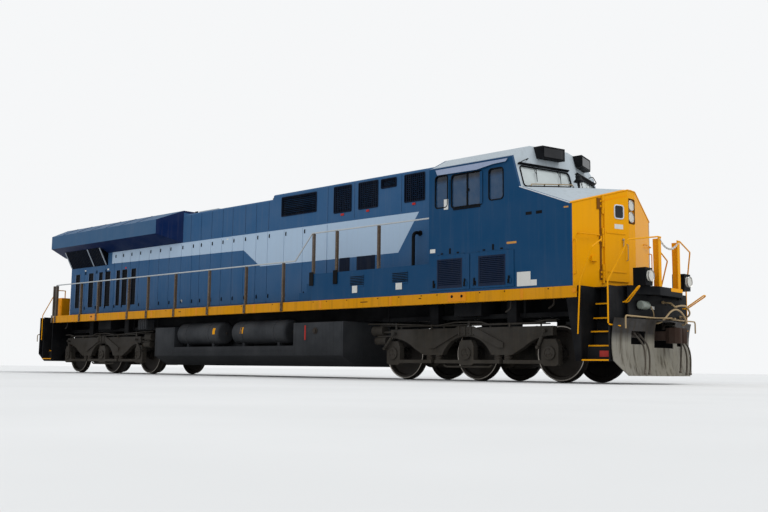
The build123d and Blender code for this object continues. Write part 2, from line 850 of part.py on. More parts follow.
with BuildPart() as nose_door:
    door_section(
        (
            (leaf_start, -leaf_thickness + hinge_stand_off - 0.4),
            (door_span, -leaf_thickness + hinge_stand_off - 0.4),
            (door_span, hinge_stand_off - 0.4),
            (leaf_start, hinge_stand_off - 0.4),
        ),
        door_low,
        door_high_inner + 10.0,
    )
    split(bisect_by=door_top_plane(0.0), keep=Keep.BOTTOM)
    for row in door_knuckle_rows:
        web_end = leaf_start + 5.0
        door_section(((0.0, -8.0), (web_end, -8.0), (web_end, 8.0), (0.0, 8.0)), row, row + door_knuckle)
        rod((hinge_x, hinge_y, row), (hinge_x, hinge_y, row + door_knuckle), knuckle_radius)
        rod(
            (hinge_x, hinge_y, row - 1.0),
            (hinge_x, hinge_y, row + door_knuckle + 1.0),
            hinge_pin + running_gap,
            Mode.SUBTRACT,
        )
    port_plane = Plane(
        origin=(hinge_x, hinge_y, 0.0),
        x_dir=facet_run,
        z_dir=(facet_run.Y, -facet_run.X, 0.0),
    )
    port_place = (door_span * port_share, port_z)
    with BuildSketch(port_plane) as port:
        with Locations(port_place):
            RectangleRounded(port_width, port_height, port_corner)
    extrude(port.sketch, amount=60.0, both=True, mode=Mode.SUBTRACT)
    with BuildSketch(port_plane.offset(-10.0)) as pane:
        with Locations(port_place):
            RectangleRounded(port_width, port_height, port_corner)
    extrude(pane.sketch, amount=glass)
nose_door.part.label = "nose_door"
export_step(nose_door.part, "parts/nose_door.step")

# Rear cab door, which swings over the right walkway
rear_hinge_y = -1462.0
rear_leaf_start = 10.0
handle_z = above_rail(3300.0)
handle_radius = 12.0
handle_drop = 120.0
rear_leaf_plate = 30.0
rear_hinge_x = cab_rear - 18.0
rear_leaf_lap = 12.0

with BuildPart() as cab_rear_door:
    leaf_back = cab_rear - running_gap - rear_leaf_plate
    box(
        leaf_back,
        cab_rear - running_gap,
        rear_hinge_y + rear_leaf_start,
        rear_door_inner + rear_leaf_lap,
        rear_door_sill - rear_leaf_lap,
        rear_door_head + rear_leaf_lap,
    )
    pane = (rear_hinge_y + 120.0, rear_door_inner - 80.0, above_rail(3550.0), above_rail(4050.0))
    box(leaf_back, cab_rear, *pane, Mode.SUBTRACT)
    box(leaf_back + 10.0, leaf_back + 10.0 + glass, *pane)
    for row in (above_rail(2800.0), above_rail(3350.0), above_rail(3950.0)):
        rod((rear_hinge_x, rear_hinge_y, row), (rear_hinge_x, rear_hinge_y, row + 90.0), 12.0)
        box(
            rear_hinge_x - 6.0,
            rear_hinge_x + 6.0,
            rear_hinge_y,
            rear_hinge_y + rear_leaf_start + 2.0,
            row,
            row + 90.0,
        )
    handle_y = rear_door_inner - 40.0
    handle_x = leaf_back - 60.0
    rod((handle_x, handle_y, handle_z), (leaf_back, handle_y, handle_z), handle_radius)
    rod(
        (handle_x, handle_y, handle_z + handle_radius),
        (handle_x, handle_y, handle_z - handle_drop),
        handle_radius,
    )
cab_rear_door.part.label = "cab_rear_door"
export_step(cab_rear_door.part, "parts/cab_rear_door.step")

# Battery doors: louvred leaves hinged along their heads
battery_leaf = 18.0
battery_hinge_z = battery_high + battery_lap + 12.0
battery_hinge_y = -cab_half - running_gap - battery_leaf / 2


def battery_door(x_low, x_high):
    """One leaf with its louvre, hinge barrels, strap and two latches."""
    outer = -cab_half - running_gap - battery_leaf
    inner = -cab_half - running_gap
    leaf = (x_low - battery_lap, x_high + battery_lap)
    box(leaf[0], leaf[1], outer, inner, battery_low - battery_lap, battery_high + battery_lap)
    middle = (x_low + x_high) / 2
    louvre = (middle - louvre_half, middle + louvre_half, battery_low + 20.0, battery_high - 50.0)
    box(louvre[0], louvre[1], outer, inner, louvre[2], louvre[3], Mode.SUBTRACT)
    grille(*louvre, -outer, -1, 14, battery_leaf)
    for place in (x_low + 120.0, x_high - 180.0):
        rod((place, battery_hinge_y, battery_hinge_z), (place + 60.0, battery_hinge_y, battery_hinge_z), 8.0)
        box(
            place,
            place + 60.0,
            battery_hinge_y - 5.0,
            battery_hinge_y + 5.0,
            battery_high + battery_lap - 2.0,
            battery_hinge_z,
        )
    for place in (x_low + 60.0, x_high - 60.0):
        box(place - 30.0, place + 30.0, outer - 14.0, outer, battery_low + 40.0, battery_low + 130.0)


battery_doors = {}
for name, (x_low, x_high) in zip(("battery_door_rear", "battery_door_front"), battery_doorways):
    with BuildPart() as battery_doors[name]:
        battery_door(x_low, x_high)
    battery_doors[name].part.label = name
    export_step(battery_doors[name].part, f"parts/{name}.step")

# Glass in the cab sides and the windshield
with BuildPart() as cab_glass:
    for side in (-1, 1):
        pane_low, pane_high = sorted((side * (cab_half - 30.0), side * (cab_half - 30.0 + glass)))
        for x_low, x_high, z_low, z_high in side_windows:
            rounded_window(x_low, x_high, z_low, z_high, pane_low, pane_high, window_corner)
    for side, outline in zip((-1, 1), shield_outlines):
        shift = shield_plane(side).z_dir * -20.0
        with BuildPart(mode=Mode.PRIVATE) as shield_pane:
            extrude(outline, amount=-glass)
        add(shield_pane.part.moved(Location(shift)))
cab_glass.part.label = "cab_glass"
export_step(cab_glass.part, "parts/cab_glass.step")

# Cab interior: raised floor, bulkhead below its front edge, two steps, desk and three seats
floor_front = 8700.0
cab_inner_rear = cab_rear + cab_wall
# seat middle x, y
seats = ((7350.0, -900.0), (7350.0, 900.0), (6650.0, -900.0))

with BuildPart() as cab_interior:
    box(cab_inner_rear, floor_front, -inner_half, inner_half, cab_floor_top - floor_plate, cab_floor_top)
    box(floor_front - 30.0, floor_front, -inner_half, inner_half, deck_top, cab_floor_top - floor_plate)
    box(floor_front, floor_front + 280.0, -700.0, 0.0, deck_top, deck_top + 560.0)
    box(floor_front + 280.0, floor_front + 560.0, -700.0, 0.0, deck_top, deck_top + 280.0)
    plate_xz(
        (
            (8050.0, cab_floor_top),
            (8450.0, cab_floor_top),
            (8450.0, cab_floor_top + 1000.0),
            (8050.0, cab_floor_top + 800.0),
        ),
        -1250.0,
        1250.0,
    )
    for x, y in seats:
        rod((x, y, cab_floor_top), (x, y, cab_floor_top + 400.0), 60.0)
        box(x - 240.0, x + 240.0, y - 250.0, y + 250.0, cab_floor_top + 400.0, cab_floor_top + 500.0)
        box(x - 300.0, x - 220.0, y - 240.0, y + 240.0, cab_floor_top + 400.0, cab_floor_top + 1150.0)
cab_interior.part.label = "cab_interior"
export_step(cab_interior.part, "parts/cab_interior.step")

# Awnings over the side windows, with the small wind deflectors beside the rear window
awning_rear = 6450.0
awning_front = 8215.0

with BuildPart() as cab_awnings:
    for side in (-1, 1):
        plate_yz(
            (
                (side * cab_half, above_rail(4350.0)),
                (side * (cab_half + 20.0), above_rail(4350.0)),
                (side * (cab_half + 24.0), above_rail(4285.0)),
                (side * (cab_half + 14.0), above_rail(4285.0)),
                (side * (cab_half + 8.0), above_rail(4330.0)),
                (side * cab_half, above_rail(4330.0)),
            ),
            awning_rear,
            awning_front,
        )
        low, high = sorted((side * cab_half, side * (cab_half + 22.0)))
        box(6815.0 - 12.0, 6815.0 + 12.0, low, high, above_rail(3600.0), above_rail(4100.0))
cab_awnings.part.label = "cab_awnings"
export_step(cab_awnings.part, "parts/cab_awnings.step")

# Number boards: two boxes that stand on the front roof slope, blank
board_inner_y = 320.0
board_outer_y = 900.0
board_low = above_rail(4400.0)
board_high = above_rail(4650.0)
board_reach = 150.0

with BuildPart() as number_boards:
    for side in (-1, 1):
        front_inner = shield_point(side, board_inner_y, board_low)
        front_outer = shield_point(side, board_outer_y, board_low)
        plate_xy(
            (
                (front_inner[0] + board_reach, front_inner[1]),
                (front_outer[0] + board_reach, front_outer[1]),
                (front_outer[0] - 250.0, front_outer[1]),
                (front_inner[0] - 250.0, front_inner[1]),
            ),
            board_low,
            board_high,
        )
    add(cab_outer, mode=Mode.SUBTRACT)
number_boards.part.label = "number_boards"
export_step(number_boards.part, "parts/number_boards.step")

# Lamps: two headlights in the nose recess and a ditch light in front of each lamp box
with BuildPart() as lamps:
    for row in headlight_rows:
        rod((nose_tip_x - lamp_recess_depth, 0.0, row), (nose_tip_x - 5.0, 0.0, row), headlight_radius)
    for side in (-1, 1):
        rod(
            (lamp_box_front, side * lamp_box_y, ditch_lamp_z),
            (lamp_box_front + 45.0, side * lamp_box_y, ditch_lamp_z),
            100.0,
        )
lamps.part.label = "lamps"
export_step(lamps.part, "parts/lamps.step")

# Equipment cab behind the cab, with recesses for the side grilles
# rear edge, front edge, foot, head, number of blades
side_vents = (
    (885.0, 2165.0, above_rail(4000.0), above_rail(4480.0), 9),
    (2790.0, 3370.0, above_rail(3884.0), above_rail(4510.0), 12),
    (3620.0, 4230.0, above_rail(3893.0), above_rail(4510.0), 12),
    (4340.0, 4800.0, above_rail(4300.0), above_rail(4500.0), 4),
    (5060.0, 5645.0, above_rail(3896.0), above_rail(4510.0), 12),
)
vent_depth = 34.0


def hood_shell(x_rear, x_front, top, rear_wall, front_wall):
    """An open-bottomed housing with rounded roof edges; end walls have the given thickness or none."""
    box(x_rear, x_front, -hood_half, hood_half, deck_top, top)
    roof_edges = [
        edge
        for edge in edges().filter_by(Axis.X)
        if abs(edge.center().Z - top) < 1.0 and abs(edge.length - (x_front - x_rear)) < 1.0
    ]
    fillet(roof_edges, radius=70.0)
    box(
        x_rear + rear_wall,
        x_front - front_wall,
        -hood_half + hood_wall,
        hood_half - hood_wall,
        deck_top - 10.0,
        top - hood_wall,
        Mode.SUBTRACT,
    )


with BuildPart() as equipment_cab:
    hood_shell(hood_front, cab_rear, equipment_top, hood_wall, hood_wall)
    for x_low, x_high, z_low, z_high, blades in side_vents:
        for side in (-1, 1):
            inner, outer = sorted((side * (hood_half - vent_depth), side * (hood_half + 10.0)))
            box(x_low, x_high, inner, outer, z_low, z_high, Mode.SUBTRACT)
equipment_cab.part.label = "equipment_cab"
export_step(equipment_cab.part, "parts/equipment_cab.step")

with BuildPart() as side_grilles:
    for x_low, x_high, z_low, z_high, blades in side_vents:
        grille(x_low, x_high, z_low, z_high, hood_half + 6.0, -1, blades, vent_depth + 6.0)
    mirror(about=Plane.XZ)
side_grilles.part.label = "side_grilles"
export_step(side_grilles.part, "parts/side_grilles.step")

# Walkway cabinets: low on the right with two steps up, full height on the left
cabinet_rear = 2680.0
cabinet_top = above_rail(2380.0)
inverter_top = above_rail(3400.0)
cabinet_louvres = ((3950.0, 4380.0), (5230.0, 5680.0))

with BuildPart() as walkway_cabinets:
    box(cabinet_rear, cab_rear, -cab_half, -hood_half, deck_top, cabinet_top)
    for step in (1, 2):
        rise = (cabinet_top - deck_top) / 3 * step
        box(
            cabinet_rear - 260.0 * (3 - step),
            cabinet_rear,
            -1450.0,
            -hood_half - door_plate,
            deck_top,
            deck_top + rise,
        )
    for x_low, x_high in cabinet_louvres:
        grille(x_low, x_high, above_rail(2010.0), above_rail(2270.0), cab_half + 8.0, -1, 6, 8.0)
    box(cabinet_rear, cab_rear, hood_half, cab_half, deck_top, inverter_top)
    for place in range(6):
        x_low = cabinet_rear + 60.0 + place * 590.0
        box(x_low, x_low + 540.0, cab_half, cab_half + 8.0, deck_top + 60.0, inverter_top - 60.0)
walkway_cabinets.part.label = "walkway_cabinets"
export_step(walkway_cabinets.part, "parts/walkway_cabinets.step")

# Engine hood and the block inside it
with BuildPart() as engine_hood:
    hood_shell(hood_rear, hood_front, hood_top, 0.0, 0.0)
engine_hood.part.label = "engine_hood"
export_step(engine_hood.part, "parts/engine_hood.step")

with BuildPart() as engine_block:
    box(-2900.0, 400.0, -600.0, 600.0, deck_top, above_rail(3900.0))
engine_block.part.label = "engine_block"
export_step(engine_block.part, "parts/engine_block.step")

# Radiator cab and the wings that overhang it
with BuildPart() as radiator_cab:
    hood_shell(radiator_rear, hood_rear, wing_root, hood_wall, hood_wall)
    box(radiator_rear, hood_rear, -hood_half, hood_half, wing_root - hood_wall, radiator_top - 60.0)
radiator_cab.part.label = "radiator_cab"
export_step(radiator_cab.part, "parts/radiator_cab.step")

wing_nose = hood_rear
with BuildPart() as radiator_wings:
    for side in (-1, 1):
        plate_yz(
            (
                (side * hood_half, wing_root),
                (side * wing_face, wing_low),
                (side * wing_face, wing_high),
                (side * hood_half, radiator_top),
            ),
            wing_rear,
            wing_nose,
        )
        slant = outward_plane(
            (wing_front, side * wing_face, 0.0),
            (wing_front, side * wing_face, 1000.0),
            (wing_nose, side * hood_half, 0.0),
            (wing_rear, 0.0, 0.0),
        )
        split(bisect_by=slant, keep=Keep.BOTTOM)
    box(wing_rear, wing_nose, -hood_half, hood_half, radiator_top - 60.0, radiator_top)
    box(wing_rear, radiator_rear, -hood_half, hood_half, above_rail(4250.0), radiator_top - 60.0)
radiator_wings.part.label = "radiator_wings"
export_step(radiator_wings.part, "parts/radiator_wings.step")

# Slanted intake screens below the wings
screen_rear = -9440.0
screen_front = -7300.0
screen_foot = above_rail(3310.0)
screen_foot_y = 975.0
screen_head_y = 1250.0
wing_slope = (wing_low - wing_root) / (wing_face - hood_half)

with BuildPart() as radiator_screens:
    for side in (-1, 1):
        plate_yz(
            (
                (side * hood_half, screen_foot),
                (side * screen_foot_y, screen_foot),
                (side * screen_head_y, wing_root + (screen_head_y - hood_half) * wing_slope),
                (side * hood_half, wing_root),
            ),
            screen_rear,
            screen_front,
        )
radiator_screens.part.label = "radiator_screens"
export_step(radiator_screens.part, "parts/radiator_screens.step")

# Hood doors: one row of panels along each side
door_low_edge = deck_top + 90.0
door_high_edge = above_rail(3640.0)
door_seams = (-9450.0, -8640.0, -7972.0, -7430.0, -6894.0, -6470.0, -6008.0, -5537.0, -5000.0, -4500.0, -3983.0,
              -3400.0, -2898.0, -2530.0, -2030.0, -1560.0, -1090.0, -600.0, -100.0, 360.0, 1000.0, 1700.0, 2570.0)
# rear edge, front edge of each tall intake slot
intake_slots = ((-9170.0, -8912.0), (-8374.0, -8095.0), (-7758.0, -7546.0), (-7396.0, -7099.0), (-6749.0, -6547.0),
                (-6432.0, -6148.0), (-5924.0, -5674.0))
slot_low = above_rail(2020.0)
slot_high = above_rail(3100.0)


with BuildPart() as hood_doors:
    with BuildSketch(Plane.XZ.offset(hood_half)) as panels:
        for rear_seam, front_seam in zip(door_seams, door_seams[1:]):
            panel_top = door_high_edge if rear_seam > screen_front else screen_foot - door_gap
            with Locations(((rear_seam + front_seam) / 2, (door_low_edge + panel_top) / 2)):
                Rectangle(front_seam - rear_seam - door_gap, panel_top - door_low_edge)
        for x_low, x_high in intake_slots:
            with Locations(((x_low + x_high) / 2, (slot_low + slot_high) / 2)):
                Rectangle(x_high - x_low, slot_high - slot_low, mode=Mode.SUBTRACT)
    extrude(panels.sketch, amount=door_plate)
    for x_low, x_high in intake_slots:
        grille(x_low, x_high, slot_low, slot_high, hood_half + door_plate, -1, 12, door_plate)
    mirror(about=Plane.XZ)
hood_doors.part.label = "hood_doors"
export_step(hood_doors.part, "parts/hood_doors.step")

# Roof and nose fittings: bell on its stand, horns, exhaust stack, antenna dome, hatches, lifting eyes
bell_x = 9150.0
bell_y = -330.0
stack_x = -2300.0
# middle x, half length, half width, height
hatches = ((-1200.0, 420.0, 560.0, 40.0), (-250.0, 420.0, 560.0, 40.0))
eye_places = (-3100.0, 300.0)

with BuildPart() as roof_fittings:
    bell_foot = nose_ridge - 150.0
    rod((bell_x, bell_y, bell_foot), (bell_x, bell_y, nose_ridge + 40.0), 22.0)
    box(bell_x - 90.0, bell_x + 90.0, bell_y - 60.0, bell_y + 60.0, nose_ridge + 40.0, nose_ridge + 60.0)
    bell_plane = Plane(origin=(bell_x, bell_y, nose_ridge + 60.0), x_dir=(1, 0, 0), z_dir=(0, -1, 0))
    with BuildSketch(bell_plane) as bell_half:
        with BuildLine():
            Polyline((0.0, 0.0), (95.0, 0.0), (90.0, 15.0))
            ThreePointArc((90.0, 15.0), (60.0, 60.0), (45.0, 110.0))
            Polyline((45.0, 110.0), (25.0, 125.0), (0.0, 125.0), (0.0, 0.0))
        make_face()
    revolve(bell_half.sketch, axis=Axis((bell_x, bell_y, 0.0), (0, 0, 1)))
    add(nose_outer, mode=Mode.SUBTRACT)
    box(stack_x - 450.0, stack_x + 450.0, -260.0, 260.0, hood_top, hood_top + 90.0)
    box(stack_x - 400.0, stack_x + 400.0, -200.0, 200.0, hood_top + 20.0, hood_top + 100.0, Mode.SUBTRACT)
    for x, half_x, half_y, height in hatches:
        box(x - half_x, x + half_x, -half_y, half_y, hood_top, hood_top + height)
    for x in eye_places:
        for side in (-1, 1):
            box(x - 60.0, x + 60.0, side * 700.0 - 12.0, side * 700.0 + 12.0, hood_top, hood_top + 90.0)
    for y in (-160.0, 0.0, 160.0):
        rod((5600.0, y, equipment_top + 110.0), (6050.0, y, equipment_top + 110.0), 30.0)
        rod((6000.0, y, equipment_top + 110.0), (6120.0, y, equipment_top + 110.0), 62.0)
        box(5700.0, 5740.0, y - 15.0, y + 15.0, equipment_top, equipment_top + 100.0)
    rod((7000.0, 0.0, roof_top), (7000.0, 0.0, roof_top + 40.0), 230.0)
    box(7500.0, 8100.0, -480.0, 480.0, roof_top, roof_top + 45.0)
roof_fittings.part.label = "roof_fittings"
export_step(roof_fittings.part, "parts/roof_fittings.step")

# Side handrails: a long rail on posts, stepping up over the cabinets on the right
post_socket = 26.0
post_socket_half = 18.0
socket_height = 80.0
low_posts = (-7830.0, -6840.0, -5150.0, -4160.0, -2830.0, -1310.0, 220.0, 1640.0)
high_posts = (2700.0, 3480.0, 4800.0)
rail_end_x = -9430.0
upper_rail = above_rail(3350.0)
rail_rise_start = 2055.0
rail_rise_end = 2640.0

rail_joint_rear = rail_end_x + 400.0
rail_joint_rise = rail_rise_start - 300.0
rail_joint_upper = rail_rise_end + 400.0
left_rail_front = cabinet_rear - 40.0
left_joint_front = left_rail_front - 400.0
high_socket_half = 30.0
high_socket_height = 60.0
post_head = rail_top_line - rail_radius - seat
upper_post_head = upper_rail - rail_radius - seat


def rail_post(x, y, foot, head, socket_half_x, socket_half_y, socket):
    """A post in its socket, which ends just below the rail."""
    rod((x, y, foot), (x, y, head), rail_radius)
    box(x - socket_half_x, x + socket_half_x, y - socket_half_y, y + socket_half_y, foot, foot + socket)


with BuildPart() as side_handrails:
    for side in (-1, 1):
        y = side * rail_line
        for x in low_posts:
            rail_post(x, y, deck_top, post_head, post_socket, post_socket_half, socket_height)
        bent_rail(
            (
                (rail_end_x, y, deck_top),
                (rail_end_x, y, rail_top_line),
                (rail_joint_rear, y, rail_top_line),
            )
        )
    rod(
        (rail_joint_rear + seat, -rail_line, rail_top_line),
        (rail_joint_rise, -rail_line, rail_top_line),
        rail_radius,
    )
    bent_rail(
        (
            (rail_joint_rise + seat, -rail_line, rail_top_line),
            (rail_rise_start, -rail_line, rail_top_line),
            (rail_rise_end, -rail_line, upper_rail),
            (rail_joint_upper, -rail_line, upper_rail),
        )
    )
    rod((rail_joint_upper + seat, -rail_line, upper_rail), (cab_rear, -rail_line, upper_rail), rail_radius)
    for x in high_posts:
        rail_post(
            x,
            -rail_line,
            cabinet_top,
            upper_post_head,
            high_socket_half,
            high_socket_half,
            high_socket_height,
        )
    rod(
        (left_joint_front - seat, rail_line, rail_top_line),
        (rail_joint_rear + seat, rail_line, rail_top_line),
        rail_radius,
    )
    bent_rail(
        (
            (left_joint_front, rail_line, rail_top_line),
            (left_rail_front, rail_line, rail_top_line),
            (left_rail_front, rail_line, deck_top),
        )
    )
side_handrails.part.label = "side_handrails"
export_step(side_handrails.part, "parts/side_handrails.step")

# End handrails: step rails, end posts with their rails, and the same at the rear
end_post_y = 380.0
end_rail_z = above_rail(2680.0)

step_rail_radius = 14.0
step_rail_bend = 40.0
step_rail_joint = above_rail(1740.0)
step_rail_knee = above_rail(1800.0)
cab_rail_gap = 14.0
end_rail_gap = 16.0
cab_rail_foot = (9830.0, above_rail(870.0))
cab_rail_knee_x = 9880.0
end_rail_foot = above_rail(1050.0)
rear_rail_x = -10130.0
rear_rail_foot = above_rail(1000.0)
rear_post = (-10500.0, 600.0)
end_post_half = 50.0
end_post_plate = 16.0
end_post_x = 10860.0
end_rail_x = 10870.0

with BuildPart() as end_handrails:
    cab_lean = (cab_rail_knee_x - cab_rail_foot[0]) / (step_rail_knee - cab_rail_foot[1])
    cab_joint_x = cab_rail_foot[0] + cab_lean * (step_rail_joint - cab_rail_foot[1])
    for side in (-1, 1):
        cab_rail_y = side * (cab_half + cab_rail_gap)
        rod(
            (cab_rail_foot[0], cab_rail_y, cab_rail_foot[1]),
            (cab_joint_x, cab_rail_y, step_rail_joint - seat),
            step_rail_radius,
        )
        bent_rail(
            (
                (cab_joint_x, cab_rail_y, step_rail_joint),
                (cab_rail_knee_x, cab_rail_y, step_rail_knee),
                (10100.0, side * (cab_half - 60.0), above_rail(2450.0)),
                (10100.0, side * (cab_half - 400.0), above_rail(2630.0)),
            ),
            step_rail_radius,
            step_rail_bend,
        )
        front_rail = (well_front + 10.0, side * (cab_half + end_rail_gap))
        rod((*front_rail, end_rail_foot), (*front_rail, step_rail_joint - seat), step_rail_radius)
        bent_rail(
            (
                (*front_rail, step_rail_joint),
                (*front_rail, step_rail_knee),
                (10700.0, side * (cab_half - 300.0), above_rail(2560.0)),
                (end_rail_x, side * (end_post_y + 60.0), end_rail_z),
                (end_rail_x, side * (end_post_y - end_post_half), end_rail_z),
            ),
            step_rail_radius,
            step_rail_bend,
        )
        low, high = sorted((side * (end_post_y - end_post_half), side * (end_post_y + end_post_half)))
        box(end_post_x, end_post_x + end_post_plate, low, high, deck_top, end_rail_z)
        post_x, post_y = rear_post
        rod((post_x, side * post_y, deck_top), (post_x, side * post_y, end_rail_z), rail_radius)
        rear_rail = (rear_rail_x, side * (cab_half + end_rail_gap))
        rod((*rear_rail, rear_rail_foot), (*rear_rail, step_rail_joint - seat), step_rail_radius)
        bent_rail(
            (
                (*rear_rail, step_rail_joint),
                (*rear_rail, step_rail_knee),
                (post_x, side * (post_y + 300.0), end_rail_z - 10.0),
                (post_x, side * post_y, end_rail_z - 10.0),
            ),
            step_rail_radius,
            step_rail_bend,
        )
end_handrails.part.label = "end_handrails"
export_step(end_handrails.part, "parts/end_handrails.step")

# Cut levers that reach from the corners to above the couplers
lever_z = above_rail(1190.0)
lever_radius = 14.0

with BuildPart() as cut_levers:
    for end, face in ((1, pilot_x + pilot_plate), (-1, rear_platform)):
        line_x = end * (face + 135.0)
        for side in (-1, 1):
            bent_rail(
                (
                    (line_x, side * 1380.0, above_rail(960.0)),
                    (line_x, side * 1380.0, lever_z),
                    (line_x, side * 250.0, lever_z),
                    (line_x + end * 230.0, side * 60.0, lever_z),
                ),
                lever_radius,
                50.0,
            )
            for y in (950.0, 350.0):
                low, high = sorted((end * face, line_x))
                box(low, high, side * y - 15.0, side * y + 15.0, lever_z - 10.0, lever_z + 10.0)
cut_levers.part.label = "cut_levers"
export_step(cut_levers.part, "parts/cut_levers.step")

# Hose fittings: a manifold on a bracket behind each plow pocket and a nozzle beside the coupler
hose_radius = 16.0
hose_rows = (740.0, 900.0)
manifold_low = above_rail(815.0)
manifold_high = above_rail(865.0)
brake_hose_y = 335.0
nozzle_radius = 22.0

with BuildPart() as hose_fittings:
    for side in (-1, 1):
        low, high = sorted((side * 650.0, side * 990.0))
        box(pilot_x, pilot_x + 20.0, low, high, manifold_low, pilot_low)
        box(pilot_x + 20.0, pilot_x + 42.0, low, high, manifold_low, manifold_high)
        for y in hose_rows:
            hose_y = side * y
            box(pilot_x + 20.0, pilot_x + 42.0, hose_y - 20.0, hose_y + 20.0, manifold_high, above_rail(915.0))
            rod((pilot_x + 38.0, hose_y, above_rail(902.0)), (pilot_x + 100.0, hose_y, above_rail(840.0)), nozzle_radius)
    box(pilot_x, pilot_x + 20.0, brake_hose_y - 60.0, brake_hose_y + 60.0, above_rail(1000.0), pilot_low)
    rod(
        (pilot_x + 10.0, brake_hose_y, above_rail(1090.0)),
        (pilot_x + 100.0, brake_hose_y, above_rail(1090.0)),
        nozzle_radius,
    )
hose_fittings.part.label = "hose_fittings"
export_step(hose_fittings.part, "parts/hose_fittings.step")

# Free hoses at the front end; each route is given from its nozzle downwards: x, height above the rail
hose_route = (
    (10640.0, 840.0),
    (10700.0, 780.0),
    (10765.0, 700.0),
    (10802.0, 590.0),
    (10815.0, 465.0),
    (10814.0, 345.0),
    (10808.0, 235.0),
)
brake_route = (
    (10640.0, 1090.0),
    (10722.0, 1090.0),
    (10803.0, 1045.0),
    (10862.0, 960.0),
    (10895.0, 850.0),
    (10905.0, 725.0),
    (10900.0, 600.0),
    (10892.0, 480.0),
    (10885.0, 370.0),
    (10880.0, 270.0),
)
hoses = {
    "mu_hose_right_outer": (-hose_rows[1], hose_route),
    "mu_hose_right_inner": (-hose_rows[0], hose_route),
    "mu_hose_left_inner": (hose_rows[0], hose_route),
    "mu_hose_left_outer": (hose_rows[1], hose_route),
    "brake_hose": (brake_hose_y, brake_route),
}


def corner_radii(points):
    """The fillet radius at each inner point of a route."""
    radii = []
    for before, here, after in zip(points, points[1:], points[2:]):
        run_in = Vector(*here) - Vector(*before)
        run_out = Vector(*after) - Vector(*here)
        half_turn = run_in.get_angle(run_out) / 2
        radii.append(0.45 * min(run_in.length, run_out.length) / tan(radians(half_turn)))
    return radii


hose_ends = []
for name, (y, route) in hoses.items():
    points = [(x, y, above_rail(height)) for x, height in route]
    radii = corner_radii(points)
    print(name, "radii", [round(radius) for radius in radii])
    with BuildPart() as hose:
        with BuildLine() as hose_line:
            FilletPolyline(*points, radius=radii)
        with BuildSketch(Plane(origin=points[0], z_dir=Vector(*points[1]) - Vector(*points[0]))):
            Circle(hose_radius)
        sweep()
    hose.part.label = name
    export_step(hose.part, f"parts/{name}.step")
    hose_ends.append((points[-2], points[-1]))

# Coupling heads on the free ends of the hoses
coupling_length = 80.0

with BuildPart() as hose_couplings:
    for before, last in hose_ends:
        run = (Vector(*last) - Vector(*before)).normalized()
        tip = Vector(*last) + run * coupling_length
        rod(last, (tip.X, tip.Y, tip.Z), 24.0)
        box(tip.X - 24.0, tip.X + 24.0, tip.Y - 22.0, tip.Y + 22.0, tip.Z - 10.0, tip.Z + 40.0)
hose_couplings.part.label = "hose_couplings"
export_step(hose_couplings.part, "parts/hose_couplings.step")

# Couplers: shank in the draft box and a head with guard arm, throat and knuckle
shank_half = 65.0
shank_height = 82.0
coupler_pin = 40.0
head_height = 140.0
# plan outline of the head, seen with the pulling face to the right: distance before the face, y
head_outline = (
    (310.0, -90.0),
    (250.0, -170.0),
    (170.0, -205.0),
    (70.0, -215.0),
    (25.0, -180.0),
    (60.0, -110.0),
    (140.0, -70.0),
    (150.0, 20.0),
    (110.0, 70.0),
    (20.0, 45.0),
    (0.0, 70.0),
    (0.0, 140.0),
    (20.0, 165.0),
    (80.0, 195.0),
    (200.0, 180.0),
    (270.0, 120.0),
    (310.0, 90.0),
)

for name, end in (("coupler_front", 1), ("coupler_rear", -1)):
    with BuildPart() as coupler:
        low, high = sorted((end * (coupler_pivot - 90.0), end * (half_length - 300.0)))
        box(low, high, -shank_half, shank_half, coupler_height - shank_height, coupler_height + shank_height)
        plate_xy(
            [(end * (half_length - back), -end * y) for back, y in head_outline],
            coupler_height - head_height,
            coupler_height + head_height,
        )
        rod(
            (end * coupler_pivot, 0.0, coupler_height - 100.0),
            (end * coupler_pivot, 0.0, coupler_height + 100.0),
            coupler_pin,
            Mode.SUBTRACT,
        )
    coupler.part.label = name
    export_step(coupler.part, f"parts/{name}.step")

# Truck side frame outline, right half: distance from the truck centre, height above the rail
arch_crown = 870.0
lobe_low = 500.0
frame_end = 2080.0
transom_half = 165.0
transom_low = 800.0
bowl_half = 380.0
bowl_low = 930.0
spring_radius = 75.0
spring_places = (760.0, 1000.0)
spring_foot = 400.0
box_half = 190.0
box_top = 800.0
box_foot = 290.0
frame_back = frame_face - frame_plate
motor_radius = 320.0
motor_offset = 480.0
motor_half = 470.0
motor_rise = 30.0
cap_radius = 130.0
cap_depth = 32.0
shoe_thickness = 55.0
shoe_gap = 8.0


def frame_half_outline(middle, hand):
    """One end half of the side frame's outline as lines and arcs in the X-Z plane."""
    def at(distance, height):
        return (middle + hand * distance, above_rail(height))

    Line(at(0.0, truck_top), at(frame_end, truck_top))
    Line(at(frame_end, truck_top), at(frame_end, arch_crown))
    ThreePointArc(at(frame_end, arch_crown), at(1690.0, 800.0), at(1400.0, 640.0))
    Line(at(1400.0, 640.0), at(1130.0, lobe_low))
    Line(at(1130.0, lobe_low), at(630.0, lobe_low))
    ThreePointArc(at(630.0, lobe_low), at(400.0, 770.0), at(0.0, arch_crown))
    Line(at(0.0, arch_crown), at(0.0, truck_top))


